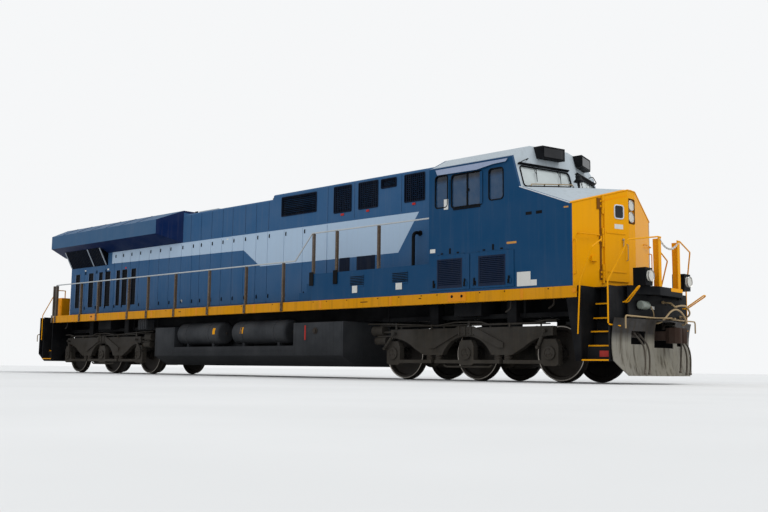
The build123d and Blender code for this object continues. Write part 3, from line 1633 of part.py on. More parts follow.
def truck_frame(middle):
    """Two side frames with their cranked ribs, two transoms and the centre bowl between them."""
    for side in (-1, 1):
        low, high = sorted((side * frame_back, side * frame_face))
        for hand in (-1, 1):
            with BuildSketch(Plane.XZ.offset(-high)) as half_plate:
                with BuildLine():
                    frame_half_outline(middle, hand)
                make_face()
            extrude(half_plate.sketch, amount=high - low)
            rib = (
                (middle, above_rail(1080.0)),
                (middle + hand * 200.0, above_rail(1080.0)),
                (middle + hand * 950.0, above_rail(740.0)),
                (middle + hand * 950.0, above_rail(640.0)),
                (middle + hand * 820.0, above_rail(640.0)),
                (middle + hand * 150.0, above_rail(950.0)),
                (middle, above_rail(950.0)),
            )
            rib_low, rib_high = sorted((side * frame_face, side * (frame_face + 35.0)))
            plate_xz(rib, rib_low, rib_high)
    for hand in (-1, 1):
        centre = middle + hand * transom_x
        box(centre - transom_half, centre + transom_half, -frame_back, frame_back, above_rail(transom_low),
            above_rail(truck_top))
    bowl_rear, bowl_front = middle - transom_x, middle + transom_x
    box(bowl_rear, bowl_front, -bowl_half, bowl_half, above_rail(bowl_low), above_rail(truck_top))
    rod(
        (middle, 0.0, pivot_low - 5.0),
        (middle, 0.0, above_rail(truck_top) + 10.0),
        pivot_radius + running_gap,
        Mode.SUBTRACT,
    )


def axle_boxes(middle):
    """Journal boxes with caps, wings and the coil springs that carry the frame."""
    for side in (-1, 1):
        low, high = sorted((side * frame_back, side * frame_face))
        for place, wing_hands in ((-axle_spacing, (1,)), (0.0, (-1, 1)), (axle_spacing, (-1,))):
            x = middle + place
            with BuildSketch(Plane.XZ.offset(-high)) as body:
                Polygon(
                    (x - box_half, above_rail(330.0)),
                    (x - box_half + 60.0, above_rail(box_foot)),
                    (x + box_half - 60.0, above_rail(box_foot)),
                    (x + box_half, above_rail(330.0)),
                    (x + box_half, above_rail(680.0)),
                    (x + box_half - 60.0, above_rail(box_top)),
                    (x - box_half + 60.0, above_rail(box_top)),
                    (x - box_half, above_rail(680.0)),
                    align=None,
                )
                for hand in wing_hands:
                    reach = abs(spring_places[0 if place == 0.0 else 1] - abs(place)) + spring_radius
                    wing_x = x + hand * (box_half + reach) / 2
                    with Locations((wing_x, above_rail(spring_foot - 35.0))):
                        Rectangle(reach - box_half, 70.0)
            extrude(body.sketch, amount=high - low)
            cap_face = side * (frame_face + cap_depth)
            rod((x, side * frame_face, axle_height), (x, cap_face, axle_height), cap_radius)
            rod(
                (x, side * (frame_back - 10.0), axle_height),
                (x, side * (journal_end + 3.0), axle_height),
                journal_radius + running_gap,
                Mode.SUBTRACT,
            )
            for hand in wing_hands:
                spring_place = hand * spring_places[0] if place == 0.0 else place / axle_spacing * spring_places[1]
                spring_x = middle + spring_place
                spring_y = side * (frame_back + frame_face) / 2
                rod(
                    (spring_x, spring_y, above_rail(spring_foot)),
                    (spring_x, spring_y, above_rail(lobe_low)),
                    spring_radius,
                )


def traction_motors(middle):
    """Three motors, each hung between its axle and a transom, with the axle collar round its axle."""
    for place, hand in ((-axle_spacing, 1), (0.0, 1), (axle_spacing, -1)):
        x = middle + place
        motor_x = x + hand * motor_offset
        motor_z = axle_height + motor_rise
        rod((motor_x, -motor_half, motor_z), (motor_x, motor_half, motor_z), motor_radius)
        near, far = sorted((x, motor_x))
        box(near, far, -motor_half, motor_half, axle_height - 120.0, axle_height + 140.0)
        rod((x, -motor_half, axle_height), (x, motor_half, axle_height), 160.0)
        rod(
            (x, -motor_half - 10.0, axle_height),
            (x, motor_half + 10.0, axle_height),
            axle_radius + running_gap,
            Mode.SUBTRACT,
        )
        bracket_low, bracket_high = sorted((motor_x, motor_x + hand * (motor_radius + 90.0)))
        box(bracket_low, bracket_high, -150.0, 150.0, above_rail(transom_low) - 80.0, above_rail(transom_low))


def brake_gear(middle):
    """Brake shoes on hangers, the cylinders at the truck ends and the pipes along the frame tops."""
    shoe_inner = wheel_radius + shoe_gap
    for side in (-1, 1):
        y_low, y_high = sorted((side * 722.0, side * 792.0))
        for place, hand in ((-axle_spacing, 1), (0.0, 1), (axle_spacing, -1)):
            x = middle + place
            shoe_x = x + hand * (shoe_inner + shoe_thickness / 2)
            box(shoe_x - shoe_thickness / 2, shoe_x + shoe_thickness / 2, y_low, y_high,
                axle_height - 20.0, above_rail(780.0))
            rod((x, y_low - 10.0, axle_height), (x, y_high + 10.0, axle_height), shoe_inner, Mode.SUBTRACT)
            hanger_z = above_rail(755.0)
            rod((shoe_x, side * 757.0, hanger_z), (shoe_x, side * frame_back, hanger_z), 24.0)
        hand = -1 if middle > 0 else 1
        arm_low, arm_high = sorted((middle + hand * frame_end, middle + hand * (frame_end + 420.0)))
        y_mid = side * (frame_face - 70.0)
        box(arm_low, arm_high, y_mid - 45.0, y_mid + 45.0, above_rail(900.0), above_rail(925.0))
        rod(
            (middle + hand * (frame_end + 240.0), y_mid, above_rail(1035.0)),
            (middle + hand * (frame_end + 560.0), y_mid, above_rail(1035.0)),
            110.0,
        )
        rod(
            (middle + hand * frame_end, y_mid, above_rail(1000.0)),
            (middle + hand * (frame_end + 240.0), y_mid, above_rail(1000.0)),
            25.0,
        )
        rod(
            (middle + hand * (frame_end + 160.0), y_mid, above_rail(815.0)),
            (middle + hand * (frame_end + 480.0), y_mid, above_rail(815.0)),
            85.0,
        )
        pipe_y = side * (frame_face - 30.0)
        pipe_z = above_rail(1115.0)
        rod((middle - 1900.0, pipe_y, pipe_z), (middle + 1900.0, pipe_y, pipe_z), 16.0)
        for place in (-1800.0, -600.0, 600.0, 1800.0):
            box(
                middle + place - 12.0,
                middle + place + 12.0,
                pipe_y - 12.0,
                pipe_y + 12.0,
                above_rail(truck_top),
                above_rail(1110.0),
            )


truck_pieces = {
    "truck_frame": truck_frame,
    "axle_boxes": axle_boxes,
    "traction_motors": traction_motors,
    "brake_gear": brake_gear,
}
for truck_name, middle in (("front", truck_centre), ("rear", -truck_centre)):
    for piece_name, build_piece in truck_pieces.items():
        with BuildPart() as piece:
            build_piece(middle)
        piece.part.label = f"{piece_name}_{truck_name}"
        export_step(piece.part, f"parts/{piece_name}_{truck_name}.step")

# Wheelsets: an axle with stepped seats and two flanged wheels turned as one revolved section
hub_radius = 140.0
hub_end = 850.0
flange_width = 30.0
tread_fall = 2.4
rim_inner = 455.0
wheel_front = wheel_back + wheel_rim
# distance from the middle, radius
wheelset_outline = (
    (0.0, 0.0),
    (0.0, axle_radius),
    (640.0, axle_radius),
    (640.0, hub_radius),
    (720.0, hub_radius + 10.0),
    (712.0, rim_inner - 20.0),
    (wheel_back, rim_inner),
    (wheel_back, wheel_radius + flange_height - 6.0),
    (wheel_back + 8.0, wheel_radius + flange_height),
    (wheel_back + 18.0, wheel_radius + flange_height),
    (wheel_back + flange_width, wheel_radius + 8.0),
    (wheel_back + flange_width + 10.0, wheel_radius + tread_fall),
    (wheel_front, wheel_radius - tread_fall),
    (wheel_front, rim_inner),
    (750.0, rim_inner - 20.0),
    (758.0, hub_radius + 10.0),
    (hub_end, hub_radius),
    (hub_end, axle_radius),
    (900.0, axle_radius),
    (900.0, journal_radius),
    (journal_end, journal_radius),
    (journal_end, 0.0),
)

axle_offsets = (axle_spacing, 0.0, -axle_spacing)
axle_places = [truck + place for truck in (truck_centre, -truck_centre) for place in axle_offsets]
for number, axle_x in enumerate(axle_places, start=1):
    with BuildPart() as wheelset:
        axle_plane = Plane(origin=(axle_x, 0.0, axle_height), x_dir=(0, 1, 0), z_dir=(1, 0, 0))
        with BuildSketch(axle_plane) as half_section:
            Polygon(*wheelset_outline, align=None)
        revolve(half_section.sketch, axis=Axis((axle_x, 0.0, axle_height), (0, 1, 0)))
        mirror(about=Plane.XZ)
    wheelset.part.label = f"wheelset_{number}"
    export_step(wheelset.part, f"parts/wheelset_{number}.step")
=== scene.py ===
"""Visual model of a six-axle freight diesel locomotive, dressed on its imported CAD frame."""

from __future__ import annotations

import json
import logging
import math
from dataclasses import dataclass
from enum import Enum
from typing import Iterable, Optional, Sequence

import bpy
from mathutils import Matrix, Vector

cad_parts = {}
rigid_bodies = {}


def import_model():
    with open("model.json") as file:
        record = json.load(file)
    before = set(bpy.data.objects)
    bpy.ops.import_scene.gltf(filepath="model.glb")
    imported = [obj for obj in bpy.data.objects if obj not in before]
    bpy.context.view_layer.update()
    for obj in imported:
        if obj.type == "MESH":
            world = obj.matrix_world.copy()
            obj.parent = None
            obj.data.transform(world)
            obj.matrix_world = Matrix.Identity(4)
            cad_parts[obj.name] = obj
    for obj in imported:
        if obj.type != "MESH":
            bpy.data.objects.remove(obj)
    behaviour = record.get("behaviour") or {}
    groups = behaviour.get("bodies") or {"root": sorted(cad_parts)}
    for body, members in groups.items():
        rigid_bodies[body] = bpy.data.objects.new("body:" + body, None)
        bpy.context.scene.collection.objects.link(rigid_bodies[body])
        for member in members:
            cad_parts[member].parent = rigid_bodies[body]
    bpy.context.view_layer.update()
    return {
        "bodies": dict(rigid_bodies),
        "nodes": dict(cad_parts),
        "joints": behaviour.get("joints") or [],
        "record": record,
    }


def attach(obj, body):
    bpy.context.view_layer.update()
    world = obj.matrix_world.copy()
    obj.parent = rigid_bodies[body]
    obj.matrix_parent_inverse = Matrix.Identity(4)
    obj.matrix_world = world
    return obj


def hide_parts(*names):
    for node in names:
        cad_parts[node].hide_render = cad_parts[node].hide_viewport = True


log = logging.getLogger("locomotive")
Piece = bpy.types.Object
Point = Sequence[float]
Rect = tuple[float, float, float, float]  # rear, front, foot, head
Pairs = Sequence[tuple[float, float]]
RAIL = 0.028  # the rail's top above the frame's origin
BODY = "locomotive_body"
RIGHT, AHEAD, UP = Vector((0.0, -1.0, 0.0)), Vector((1.0, 0.0, 0.0)), Vector((0.0, 0.0, 1.0))
HANDS = ((-1.0, "right"), (1.0, "left"))


def srgb(code: str) -> tuple[float, ...]:
    """Turns a six-digit hex colour into the linear colour that shaders take."""
    parts = [int(code[i : i + 2], 16) / 255 for i in (0, 2, 4)]
    return (*(c / 12.92 if c <= 0.04045 else ((c + 0.055) / 1.055) ** 2.4 for c in parts), 1.0)


def shift(x: float = 0.0, y: float = 0.0, z: float = 0.0) -> Matrix:
    """A move by x, y and z."""
    return Matrix.Translation((x, y, z))


def upright(rect: Rect, y: float) -> list[Point]:
    """The corners of an upright rectangle along the locomotive."""
    rear, front, foot, head = rect
    return [(rear, y, foot), (front, y, foot), (front, y, head), (rear, y, head)]


# ---- Workshop: pieces by operators ----


class Bench:
    """Models pieces with the mesh operators, each at the origin with its place in its mesh.

    Heights are above the rail until Assembly.put lifts a finished piece into the frame.
    """

    @staticmethod
    def pick(*objs: Piece) -> None:
        """Selects only these objects and makes the first one active.

        Args:
            objs: The objects, the active one first.
        """
        bpy.ops.object.select_all(action="DESELECT")
        for obj in objs:
            obj.select_set(True)
        bpy.context.view_layer.objects.active = objs[0]

    @staticmethod
    def settle(obj: Piece, smooth: float = 35.0) -> Piece:
        """Moves an object's place into its mesh and smooths its edges below an angle in degrees.

        Args:
            obj: The object.
            smooth: The angle in degrees below which edges are smooth.

        Returns:
            The same object.
        """
        bpy.context.view_layer.update()
        obj.data.transform(obj.matrix_world)
        obj.matrix_world = Matrix.Identity(4)
        Bench.pick(obj)
        bpy.ops.object.shade_smooth_by_angle(angle=math.radians(smooth))
        return obj

    @staticmethod
    def bevel(obj: Piece, width: float, segments: int = 2, angle: float = 35.0) -> Piece:
        """Rounds the edges that are sharper than an angle in degrees.

        Args:
            obj: The object.
            width: The bevel's width, or zero for none.
            segments: The number of faces across the bevel.
            angle: The least angle between faces that is bevelled.

        Returns:
            The same object.
        """
        if width > 0.0:
            Bench.pick(obj)
            modifier = obj.modifiers.new("edge", "BEVEL")
            modifier.width = width
            modifier.segments = segments
            modifier.limit_method = "ANGLE"
            modifier.angle_limit = math.radians(angle)
            bpy.ops.object.modifier_apply(modifier=modifier.name)
        return obj

    @staticmethod
    def block(low: Point, high: Point, bevel: float = 0.003, segments: int = 2) -> Piece:
        """A block between two corners with rounded edges.

        Args:
            low: One corner.
            high: The opposite corner.
            bevel: The edge radius.
            segments: The number of faces across each edge.

        Returns:
            The new object.
        """
        size = [abs(b - a) for a, b in zip(low, high)]
        bpy.ops.mesh.primitive_cube_add(size=1.0, location=[(a + b) / 2 for a, b in zip(low, high)])
        bpy.context.object.scale = size
        return Bench.bevel(Bench.settle(bpy.context.object), min(bevel, min(size) * 0.45), segments)

    @staticmethod
    def plates(
        rects: Iterable[Rect], near: float, far: float, bevel: float = 0.003, segments: int = 2
    ) -> list[Piece]:
        """Blocks that stand along the side.

        Args:
            rects: The rear, the front, the foot and the head of each block.
            near: The sideways place of their outer face.
            far: The sideways place of their inner face.
            bevel: The edge radius.
            segments: The number of faces across each edge.

        Returns:
            The new objects.
        """
        return [Bench.block((a, near, foot), (b, far, head), bevel, segments) for a, b, foot, head in rects]

    @staticmethod
    def sheet(outline: Sequence[Point], push: Point, bevel: float = 0.002) -> Piece:
        """A plate from a flat outline in space, pushed out to its thickness.

        Args:
            outline: The corners in order.
            push: The vector from one face to the other.
            bevel: The edge radius.

        Returns:
            The new object.
        """
        bpy.ops.mesh.primitive_circle_add(vertices=len(outline), fill_type="NGON")
        obj = bpy.context.object
        for vertex, corner in zip(obj.data.vertices, outline):
            vertex.co = corner
        bpy.ops.object.mode_set(mode="EDIT")
        bpy.ops.mesh.select_all(action="SELECT")
        bpy.ops.mesh.extrude_region_move(TRANSFORM_OT_translate={"value": tuple(push)})
        bpy.ops.mesh.select_all(action="SELECT")
        bpy.ops.mesh.normals_make_consistent(inside=False)
        bpy.ops.object.mode_set(mode="OBJECT")
        return Bench.bevel(Bench.settle(obj), bevel)

    @staticmethod
    def rod(
        start: Point, end: Point, radius: float, sides: int = 20, bevel: float = 0.0, tip: float = -1.0
    ) -> Piece:
        """A round bar or cone between two points.

        Args:
            start: The middle of one end.
            end: The middle of the other end.
            radius: The radius at the start.
            sides: The number of sides.
            bevel: The rim's radius.
            tip: The radius at the end, or below zero for a plain bar.

        Returns:
            The new object.
        """
        first, last = Vector(start), Vector(end)
        run = last - first
        bpy.ops.mesh.primitive_cone_add(
            vertices=sides,
            radius1=radius,
            radius2=radius if tip < 0.0 else tip,
            depth=run.length,
            location=(first + last) / 2,
            rotation=run.to_track_quat("Z", "Y").to_euler(),
        )
        return Bench.bevel(Bench.settle(bpy.context.object), bevel, 2, 50.0)

    @staticmethod
    def tube(
        points: Iterable[Point], radius: float, bend: float = 0.04, sides: int = 3, closed: bool = False
    ) -> Piece:
        """A bent bar along a run of points with rounded corners.

        Args:
            points: The corners of its centre line.
            radius: The bar's radius.
            bend: How far before and after each corner it starts to turn.
            sides: Blender's bevel resolution of the section.
            closed: Whether the last point joins the first.

        Returns:
            The new object, a mesh.
        """
        corners = [Vector(p) for p in points]
        curve = bpy.data.curves.new("tube", "CURVE")
        curve.dimensions = "3D"
        curve.bevel_depth, curve.bevel_resolution, curve.resolution_u = radius, sides, 5
        curve.use_fill_caps = True
        knots: list[tuple[Vector, Vector, Vector]] = []
        for index, here in enumerate(corners):
            if not closed and index in (0, len(corners) - 1):
                knots.append((here, here, here))
                continue
            back, ahead = corners[index - 1] - here, corners[(index + 1) % len(corners)] - here
            near = min(bend, back.length * 0.45, ahead.length * 0.45)
            first, last = here + back.normalized() * near, here + ahead.normalized() * near
            knots += [(first, first, first.lerp(here, 0.55)), (last, last.lerp(here, 0.55), last)]
        spline = curve.splines.new("BEZIER")
        spline.bezier_points.add(len(knots) - 1)
        for knot, (place, left, right) in zip(spline.bezier_points, knots):
            knot.co, knot.handle_left, knot.handle_right = place, left, right
            knot.handle_left_type = knot.handle_right_type = "FREE"
        spline.use_cyclic_u = closed
        obj = bpy.data.objects.new("tube", curve)
        bpy.context.scene.collection.objects.link(obj)
        Bench.pick(obj)
        bpy.ops.object.convert(target="MESH")
        return Bench.settle(bpy.context.object, 50.0)

    @staticmethod
    def lathe(profile: Pairs, foot: Point, axis: Point = RIGHT, steps: int = 32) -> Piece:
        """A turned piece spun from its profile.

        Args:
            profile: Pairs of radius and distance along the axis, in order.
            foot: The point on the axis where the distance is zero.
            axis: The direction of the axis.
            steps: The number of faces round it.

        Returns:
            The new object.
        """
        bpy.ops.mesh.primitive_circle_add(vertices=len(profile), fill_type="NOTHING")
        obj = bpy.context.object
        obj.data.clear_geometry()
        obj.data.from_pydata(
            [(r, 0.0, h) for r, h in profile], [(i, i + 1) for i in range(len(profile) - 1)], []
        )
        bpy.ops.object.mode_set(mode="EDIT")
        bpy.ops.mesh.select_all(action="SELECT")
        bpy.ops.mesh.spin(steps=steps, angle=math.tau, center=(0, 0, 0), axis=(0, 0, 1))
        bpy.ops.mesh.select_all(action="SELECT")
        bpy.ops.mesh.remove_doubles(threshold=0.0002)
        bpy.ops.mesh.normals_make_consistent(inside=False)
        bpy.ops.object.mode_set(mode="OBJECT")
        turn = Vector(axis).to_track_quat("Z", "Y").to_matrix().to_4x4()
        obj.matrix_world = Matrix.Translation(foot) @ turn
        return Bench.settle(obj)

    @staticmethod
    def bolts(
        places: Iterable[Point], axis: Vector = RIGHT, radius: float = 0.012, height: float = 0.010
    ) -> Piece:
        """Hexagonal bolt heads on their washers.

        Args:
            places: The point on the carrier under each bolt.
            axis: The direction that the heads face.
            radius: The head's radius.
            height: The head's height.

        Returns:
            One object that holds every bolt.
        """
        head = Bench.rod((0.0, 0.0, 0.0), axis * height, radius, 6, radius * 0.12)
        washer = Bench.rod((0.0, 0.0, 0.0), axis * height * 0.25, radius * 1.4, 14)
        return Bench.copies(Bench.join([head, washer]), [Matrix.Translation(place) for place in places])

    @staticmethod
    def coil(radius: float, wire: float, height: float, turns: float) -> Piece:
        """An upright coil that a Screw modifier winds from the wire's round section.

        Args:
            radius: The radius at the middle of the wire.
            wire: The wire's radius.
            height: The height from end to end.
            turns: The number of turns.

        Returns:
            The new object, which starts at the origin.
        """
        bpy.ops.mesh.primitive_circle_add(
            vertices=10, radius=wire, location=(radius, 0.0, 0.0), rotation=(math.pi / 2, 0.0, 0.0)
        )
        obj = Bench.settle(bpy.context.object)
        winding = obj.modifiers.new("winding", "SCREW")
        winding.angle = math.tau * turns
        winding.screw_offset = height
        winding.steps = winding.render_steps = int(28 * turns)
        winding.use_normal_calculate = True
        bpy.ops.object.modifier_apply(modifier=winding.name)
        return Bench.settle(obj, 60.0)

    @staticmethod
    def copies(obj: Piece, places: Iterable[Matrix]) -> Piece:
        """Copies a piece to each place, joins the copies and removes the piece itself.

        Args:
            obj: The piece.
            places: A matrix for each copy, applied to the mesh.

        Returns:
            One object that holds every copy.
        """
        made = []
        for matrix in places:
            copy = bpy.data.objects.new(obj.name, obj.data.copy())
            copy.data.transform(matrix)
            if matrix.determinant() < 0.0:
                copy.data.flip_normals()
            bpy.context.scene.collection.objects.link(copy)
            made.append(copy)
        bpy.data.objects.remove(obj)
        return Bench.join(made)

    @staticmethod
    def join(objs: Sequence[Piece]) -> Piece:
        """Joins objects into the first one.

        Args:
            objs: The objects.

        Returns:
            The first object, which holds them all.
        """
        Bench.pick(*objs)
        if len(objs) > 1:
            bpy.ops.object.join()
        return bpy.context.view_layer.objects.active


# ---- Finishes ----


class Sheet:
    """A node tree with short calls that add and link nodes and return an output."""

    def __init__(self, tree: bpy.types.NodeTree) -> None:
        """Keeps the tree that the calls work on."""
        self.tree = tree

    @classmethod
    def of_material(cls, name: str) -> tuple[bpy.types.Material, Sheet, bpy.types.Node, object]:
        """A new material with its sheet, its shader and its Object coordinates.

        Args:
            name: The material's name.

        Returns:
            The material, its sheet, its shader and its Object coordinates.
        """
        material = bpy.data.materials.new(name)
        material.use_nodes = True
        sheet = cls(material.node_tree)
        shader = material.node_tree.nodes["Principled BSDF"]
        return material, sheet, shader, sheet.node("ShaderNodeTexCoord").outputs["Object"]

    def node(self, kind: str, **settings: object) -> bpy.types.Node:
        """Adds a node and sets its properties.

        Args:
            kind: Blender's name of the node's type.
            settings: Its properties.

        Returns:
            The new node.
        """
        made = self.tree.nodes.new(kind)
        for key, value in settings.items():
            setattr(made, key, value)
        return made

    def feed(self, socket: bpy.types.NodeSocket, value: object) -> None:
        """Links a socket to another, or sets its value.

        Args:
            socket: The input.
            value: An output to link, or a plain value.
        """
        if isinstance(value, bpy.types.NodeSocket):
            self.tree.links.new(value, socket)
        else:
            socket.default_value = value

    def wire(self, kind: str, values: Sequence[object], **settings: object) -> object:
        """Adds a node with settings, feeds its first inputs in order and returns its outputs.

        Args:
            kind: Blender's name of the node's type.
            values: What feeds its first inputs.
            settings: Its properties.

        Returns:
            The node's outputs.
        """
        made = self.node(kind, **settings)
        for socket, value in zip(made.inputs, values):
            self.feed(socket, value)
        return made.outputs

    def math(self, operation: str, *values: object, clamp: bool = False) -> object:
        """A Math node's output."""
        return self.wire("ShaderNodeMath", values, operation=operation, use_clamp=clamp)[0]

    def times(self, first: object, second: object, clamp: bool = False) -> object:
        """The product of two values."""
        return self.math("MULTIPLY", first, second, clamp=clamp)

    def plus(self, first: object, second: object) -> object:
        """The sum of two values."""
        return self.math("ADD", first, second)

    def within(self, value: object, middle: float, half: float) -> object:
        """A mask of one where a value lies less than half from the middle."""
        return self.math("LESS_THAN", self.math("ABSOLUTE", self.math("SUBTRACT", value, middle)), half)

    def span(self, value: object, *limits: float) -> object:
        """A clamped Map Range node's output, to 0 and 1 where no more limits are given."""
        return self.wire("ShaderNodeMapRange", (value, *limits), clamp=True)[0]

    def mix(self, factor: object, first: object, second: object) -> object:
        """A colour between two by a factor.

        Args:
            factor: The share of the second colour.
            first: One colour.
            second: The other colour.

        Returns:
            The mixed colour.
        """
        made = self.node("ShaderNodeMix", data_type="RGBA")
        for index, value in ((0, factor), (6, first), (7, second)):
            self.feed(made.inputs[index], value)
        return made.outputs[2]

    def noise(self, vector: object, scale: object, detail: float = 3.0, roughness: float = 0.5) -> object:
        """A noise texture's factor.

        Args:
            vector: The place.
            scale: The texture's scale.
            detail: Its detail.
            roughness: Its roughness.

        Returns:
            The factor.
        """
        made = self.node("ShaderNodeTexNoise")
        for label, value in (
            ("Vector", vector), ("Scale", scale), ("Detail", detail), ("Roughness", roughness)
        ):
            self.feed(made.inputs[label], value)
        return made.outputs[0]

    def parts(self, vector: object) -> object:
        """The three parts of a vector."""
        return self.wire("ShaderNodeSeparateXYZ", (vector,))

    def group(self, tree: bpy.types.NodeTree, **values: object) -> object:
        """Adds a node group, feeds its inputs, whose names have _ for a space, and returns its outputs.

        Args:
            tree: The node group.
            values: What feeds its inputs.

        Returns:
            The node's outputs.
        """
        made = self.node("ShaderNodeGroup", node_tree=tree)
        for key, value in values.items():
            self.feed(made.inputs[key.replace("_", " ")], value)
        return made.outputs


def new_group(name: str, inputs: dict[str, str], outputs: dict[str, str]) -> tuple[Sheet, object, object]:
    """Starts a shader node group.

    Args:
        name: The group's name.
        inputs: Each input's name and socket kind, without the common start.
        outputs: Each output's name and socket kind.

    Returns:
        The sheet to draw on, what the group is given and what it puts out.
    """
    tree = bpy.data.node_groups.new(name, "ShaderNodeTree")
    for direction, sockets in (("INPUT", inputs), ("OUTPUT", outputs)):
        for label, kind in sockets.items():
            tree.interface.new_socket(name=label, in_out=direction, socket_type="NodeSocket" + kind)
    sheet = Sheet(tree)
    return sheet, sheet.node("NodeGroupInput").outputs, sheet.node("NodeGroupOutput").inputs


# rear edge, front edge of each tall intake slot in the hood doors
INTAKE_SLOTS = (
    (-9.170, -8.912),
    (-8.374, -8.095),
    (-7.758, -7.546),
    (-7.396, -7.099),
    (-6.749, -6.547),
    (-6.432, -6.148),
    (-5.924, -5.674),
)
# battery door louvres, which are darkened with painted shade
DOOR_LOUVRES = ((6.500, 7.165, 1.845, 2.450), (7.568, 8.232, 1.845, 2.450))


class Effects:
    """The shared effects, each a node group that is built once."""

    def __init__(self) -> None:
        """Builds every group."""
        self.weather = self._weather()
        self.chips = self._chips()
        self.grain = self._grain()
        self.band = self._band()
        # The slots mask marks where painted shade darkens the intake slots.
        self.slots = self._panels("slots", [(*slot, 2.020, 3.100) for slot in INTAKE_SLOTS], 2.0)
        # The louvres mask marks where painted shade darkens the battery door louvres.
        self.louvres = self._panels("louvres", DOOR_LOUVRES, -1.5)

    @staticmethod
    def _weather() -> bpy.types.NodeTree:
        """Fading, rain streaks and road dust that thins out with height.

        Returns:
            The new group.
        """
        amounts = dict.fromkeys(("Fade", "Streaks", "Dust", "Dust Top"), "Float")
        sheet, given, out = new_group(
            "weather",
            {"Vector": "Vector", "Colour": "Color", "Dust Colour": "Color", **amounts},
            {"Colour": "Color", "Dust": "Float"},
        )
        vector = given["Vector"]
        clouds = sheet.noise(vector, 1.3, 4.0, 0.55)
        speckle = sheet.noise(vector, 38.0, 2.0, 0.55)
        fade = sheet.times(sheet.span(clouds, 0.35, 0.7), given["Fade"])
        pale = sheet.mix(0.45, given["Colour"], (0.55, 0.56, 0.58, 1.0))
        colour = sheet.mix(fade, given["Colour"], pale)
        stretched = sheet.node("ShaderNodeMapping")
        sheet.feed(stretched.inputs["Vector"], vector)
        sheet.feed(stretched.inputs["Scale"], (16.0, 16.0, 0.7))
        runs = sheet.noise(stretched.outputs[0], 1.0, 3.0, 0.6)
        streaks = sheet.times(sheet.span(runs, 0.5, 0.72), given["Streaks"])
        colour = sheet.mix(streaks, colour, given["Dust Colour"])
        fall = sheet.math("DIVIDE", sheet.parts(vector)[2], given["Dust Top"])
        low = sheet.span(sheet.plus(fall, sheet.times(clouds, 0.35)), 0.1, 1.25, 1.0, 0.0)
        patch = sheet.span(sheet.plus(sheet.times(clouds, 0.6), sheet.times(speckle, 0.4)), 0.34, 0.6)
        dust = sheet.times(
            sheet.times(low, sheet.plus(sheet.times(patch, 0.6), 0.4)), given["Dust"], clamp=True
        )
        sheet.feed(out["Colour"], sheet.mix(dust, colour, given["Dust Colour"]))
        sheet.feed(out["Dust"], sheet.math("MAXIMUM", dust, streaks))
        return sheet.tree

    @staticmethod
    def _chips() -> bpy.types.NodeTree:
        """Scratches and chips, thickest along the edges.

        Returns:
            The new group.
        """
        sheet, given, out = new_group(
            "chips",
            {
                "Vector": "Vector",
                "Colour": "Color",
                "Chip Colour": "Color",
                "Amount": "Float",
                "Edge": "Float",
            },
            {"Colour": "Color", "Mask": "Float"},
        )
        rounded = sheet.node("ShaderNodeBevel", samples=4)
        sheet.feed(rounded.inputs["Radius"], given["Edge"])
        flat = sheet.node("ShaderNodeNewGeometry").outputs["True Normal"]
        bent = sheet.wire(
            "ShaderNodeVectorMath", (rounded.outputs[0], flat), operation="DOT_PRODUCT"
        )["Value"]
        worn = sheet.times(sheet.span(bent, 0.998, 0.9), 0.16)
        marks = sheet.plus(sheet.noise(given["Vector"], 22.0, 5.0, 0.7), worn)
        mask = sheet.times(sheet.span(marks, 0.68, 0.72), given["Amount"], clamp=True)
        sheet.feed(out["Colour"], sheet.mix(mask, given["Colour"], given["Chip Colour"]))
        sheet.feed(out["Mask"], mask)
        return sheet.tree

    @staticmethod
    def _grain() -> bpy.types.NodeTree:
        """Orange peel of sprayed paint or the skin of a casting, with slow waves of thin plate.

        Returns:
            The new group.
        """
        sheet, given, out = new_group(
            "grain", {"Vector": "Vector", "Scale": "Float", "Waves": "Float"}, {"Height": "Float"}
        )
        fine = sheet.noise(given["Vector"], given["Scale"], 2.0)
        waves = sheet.times(sheet.noise(given["Vector"], 2.2, 1.0, 0.55), given["Waves"])
        sheet.feed(out["Height"], sheet.plus(sheet.times(fine, 0.5), waves))
        return sheet.tree

    @staticmethod
    def _band() -> bpy.types.NodeTree:
        """The mask of the pale band along the hood side, which drops and widens behind the cab.

        Returns:
            The new group.
        """
        sheet, given, out = new_group("band", {"Vector": "Vector"}, {"Mask": "Float"})
        rear, step, front_foot, front_head = -7.06, -0.6, 4.86, 5.48
        head, foot, low_foot = RAIL + 3.645, RAIL + 3.25, RAIL + 2.78
        x, _, z = sheet.parts(given["Vector"])
        low = sheet.plus(sheet.span(x, step, 0.1, foot, low_foot), sheet.span(x, rear, step, 0.08, 0.0))
        high = sheet.span(x, rear, front_head, head + 0.045, head)
        front = sheet.span(z, RAIL + 2.76, head, front_foot, front_head)
        mask = sheet.times(sheet.math("GREATER_THAN", z, low), sheet.math("LESS_THAN", z, high))
        mask = sheet.times(mask, sheet.math("LESS_THAN", x, front))
        sheet.feed(out["Mask"], sheet.times(mask, sheet.math("GREATER_THAN", x, rear)))
        return sheet.tree

    @staticmethod
    def _panels(name: str, panels: Sequence[Rect], reach: float) -> bpy.types.NodeTree:
        """The mask of upright rectangles, such as louvres and slots, to the right of one sideways place.

        Args:
            name: The group's name.
            panels: The rear, the front, the foot and the head of each rectangle.
            reach: The sideways place that the mask stays below.

        Returns:
            The new group.
        """
        sheet, given, out = new_group(name, {"Vector": "Vector"}, {"Mask": "Float"})
        x, y, z = sheet.parts(given["Vector"])
        total: object = 0.0
        for rear, front, foot, head in panels:
            along = sheet.within(x, (rear + front) / 2, (front - rear) / 2)
            level = sheet.within(z, RAIL + (foot + head) / 2, (head - foot) / 2)
            total = sheet.math("MAXIMUM", total, sheet.times(along, level))
        sheet.feed(out["Mask"], sheet.times(total, sheet.math("LESS_THAN", y, reach)))
        return sheet.tree


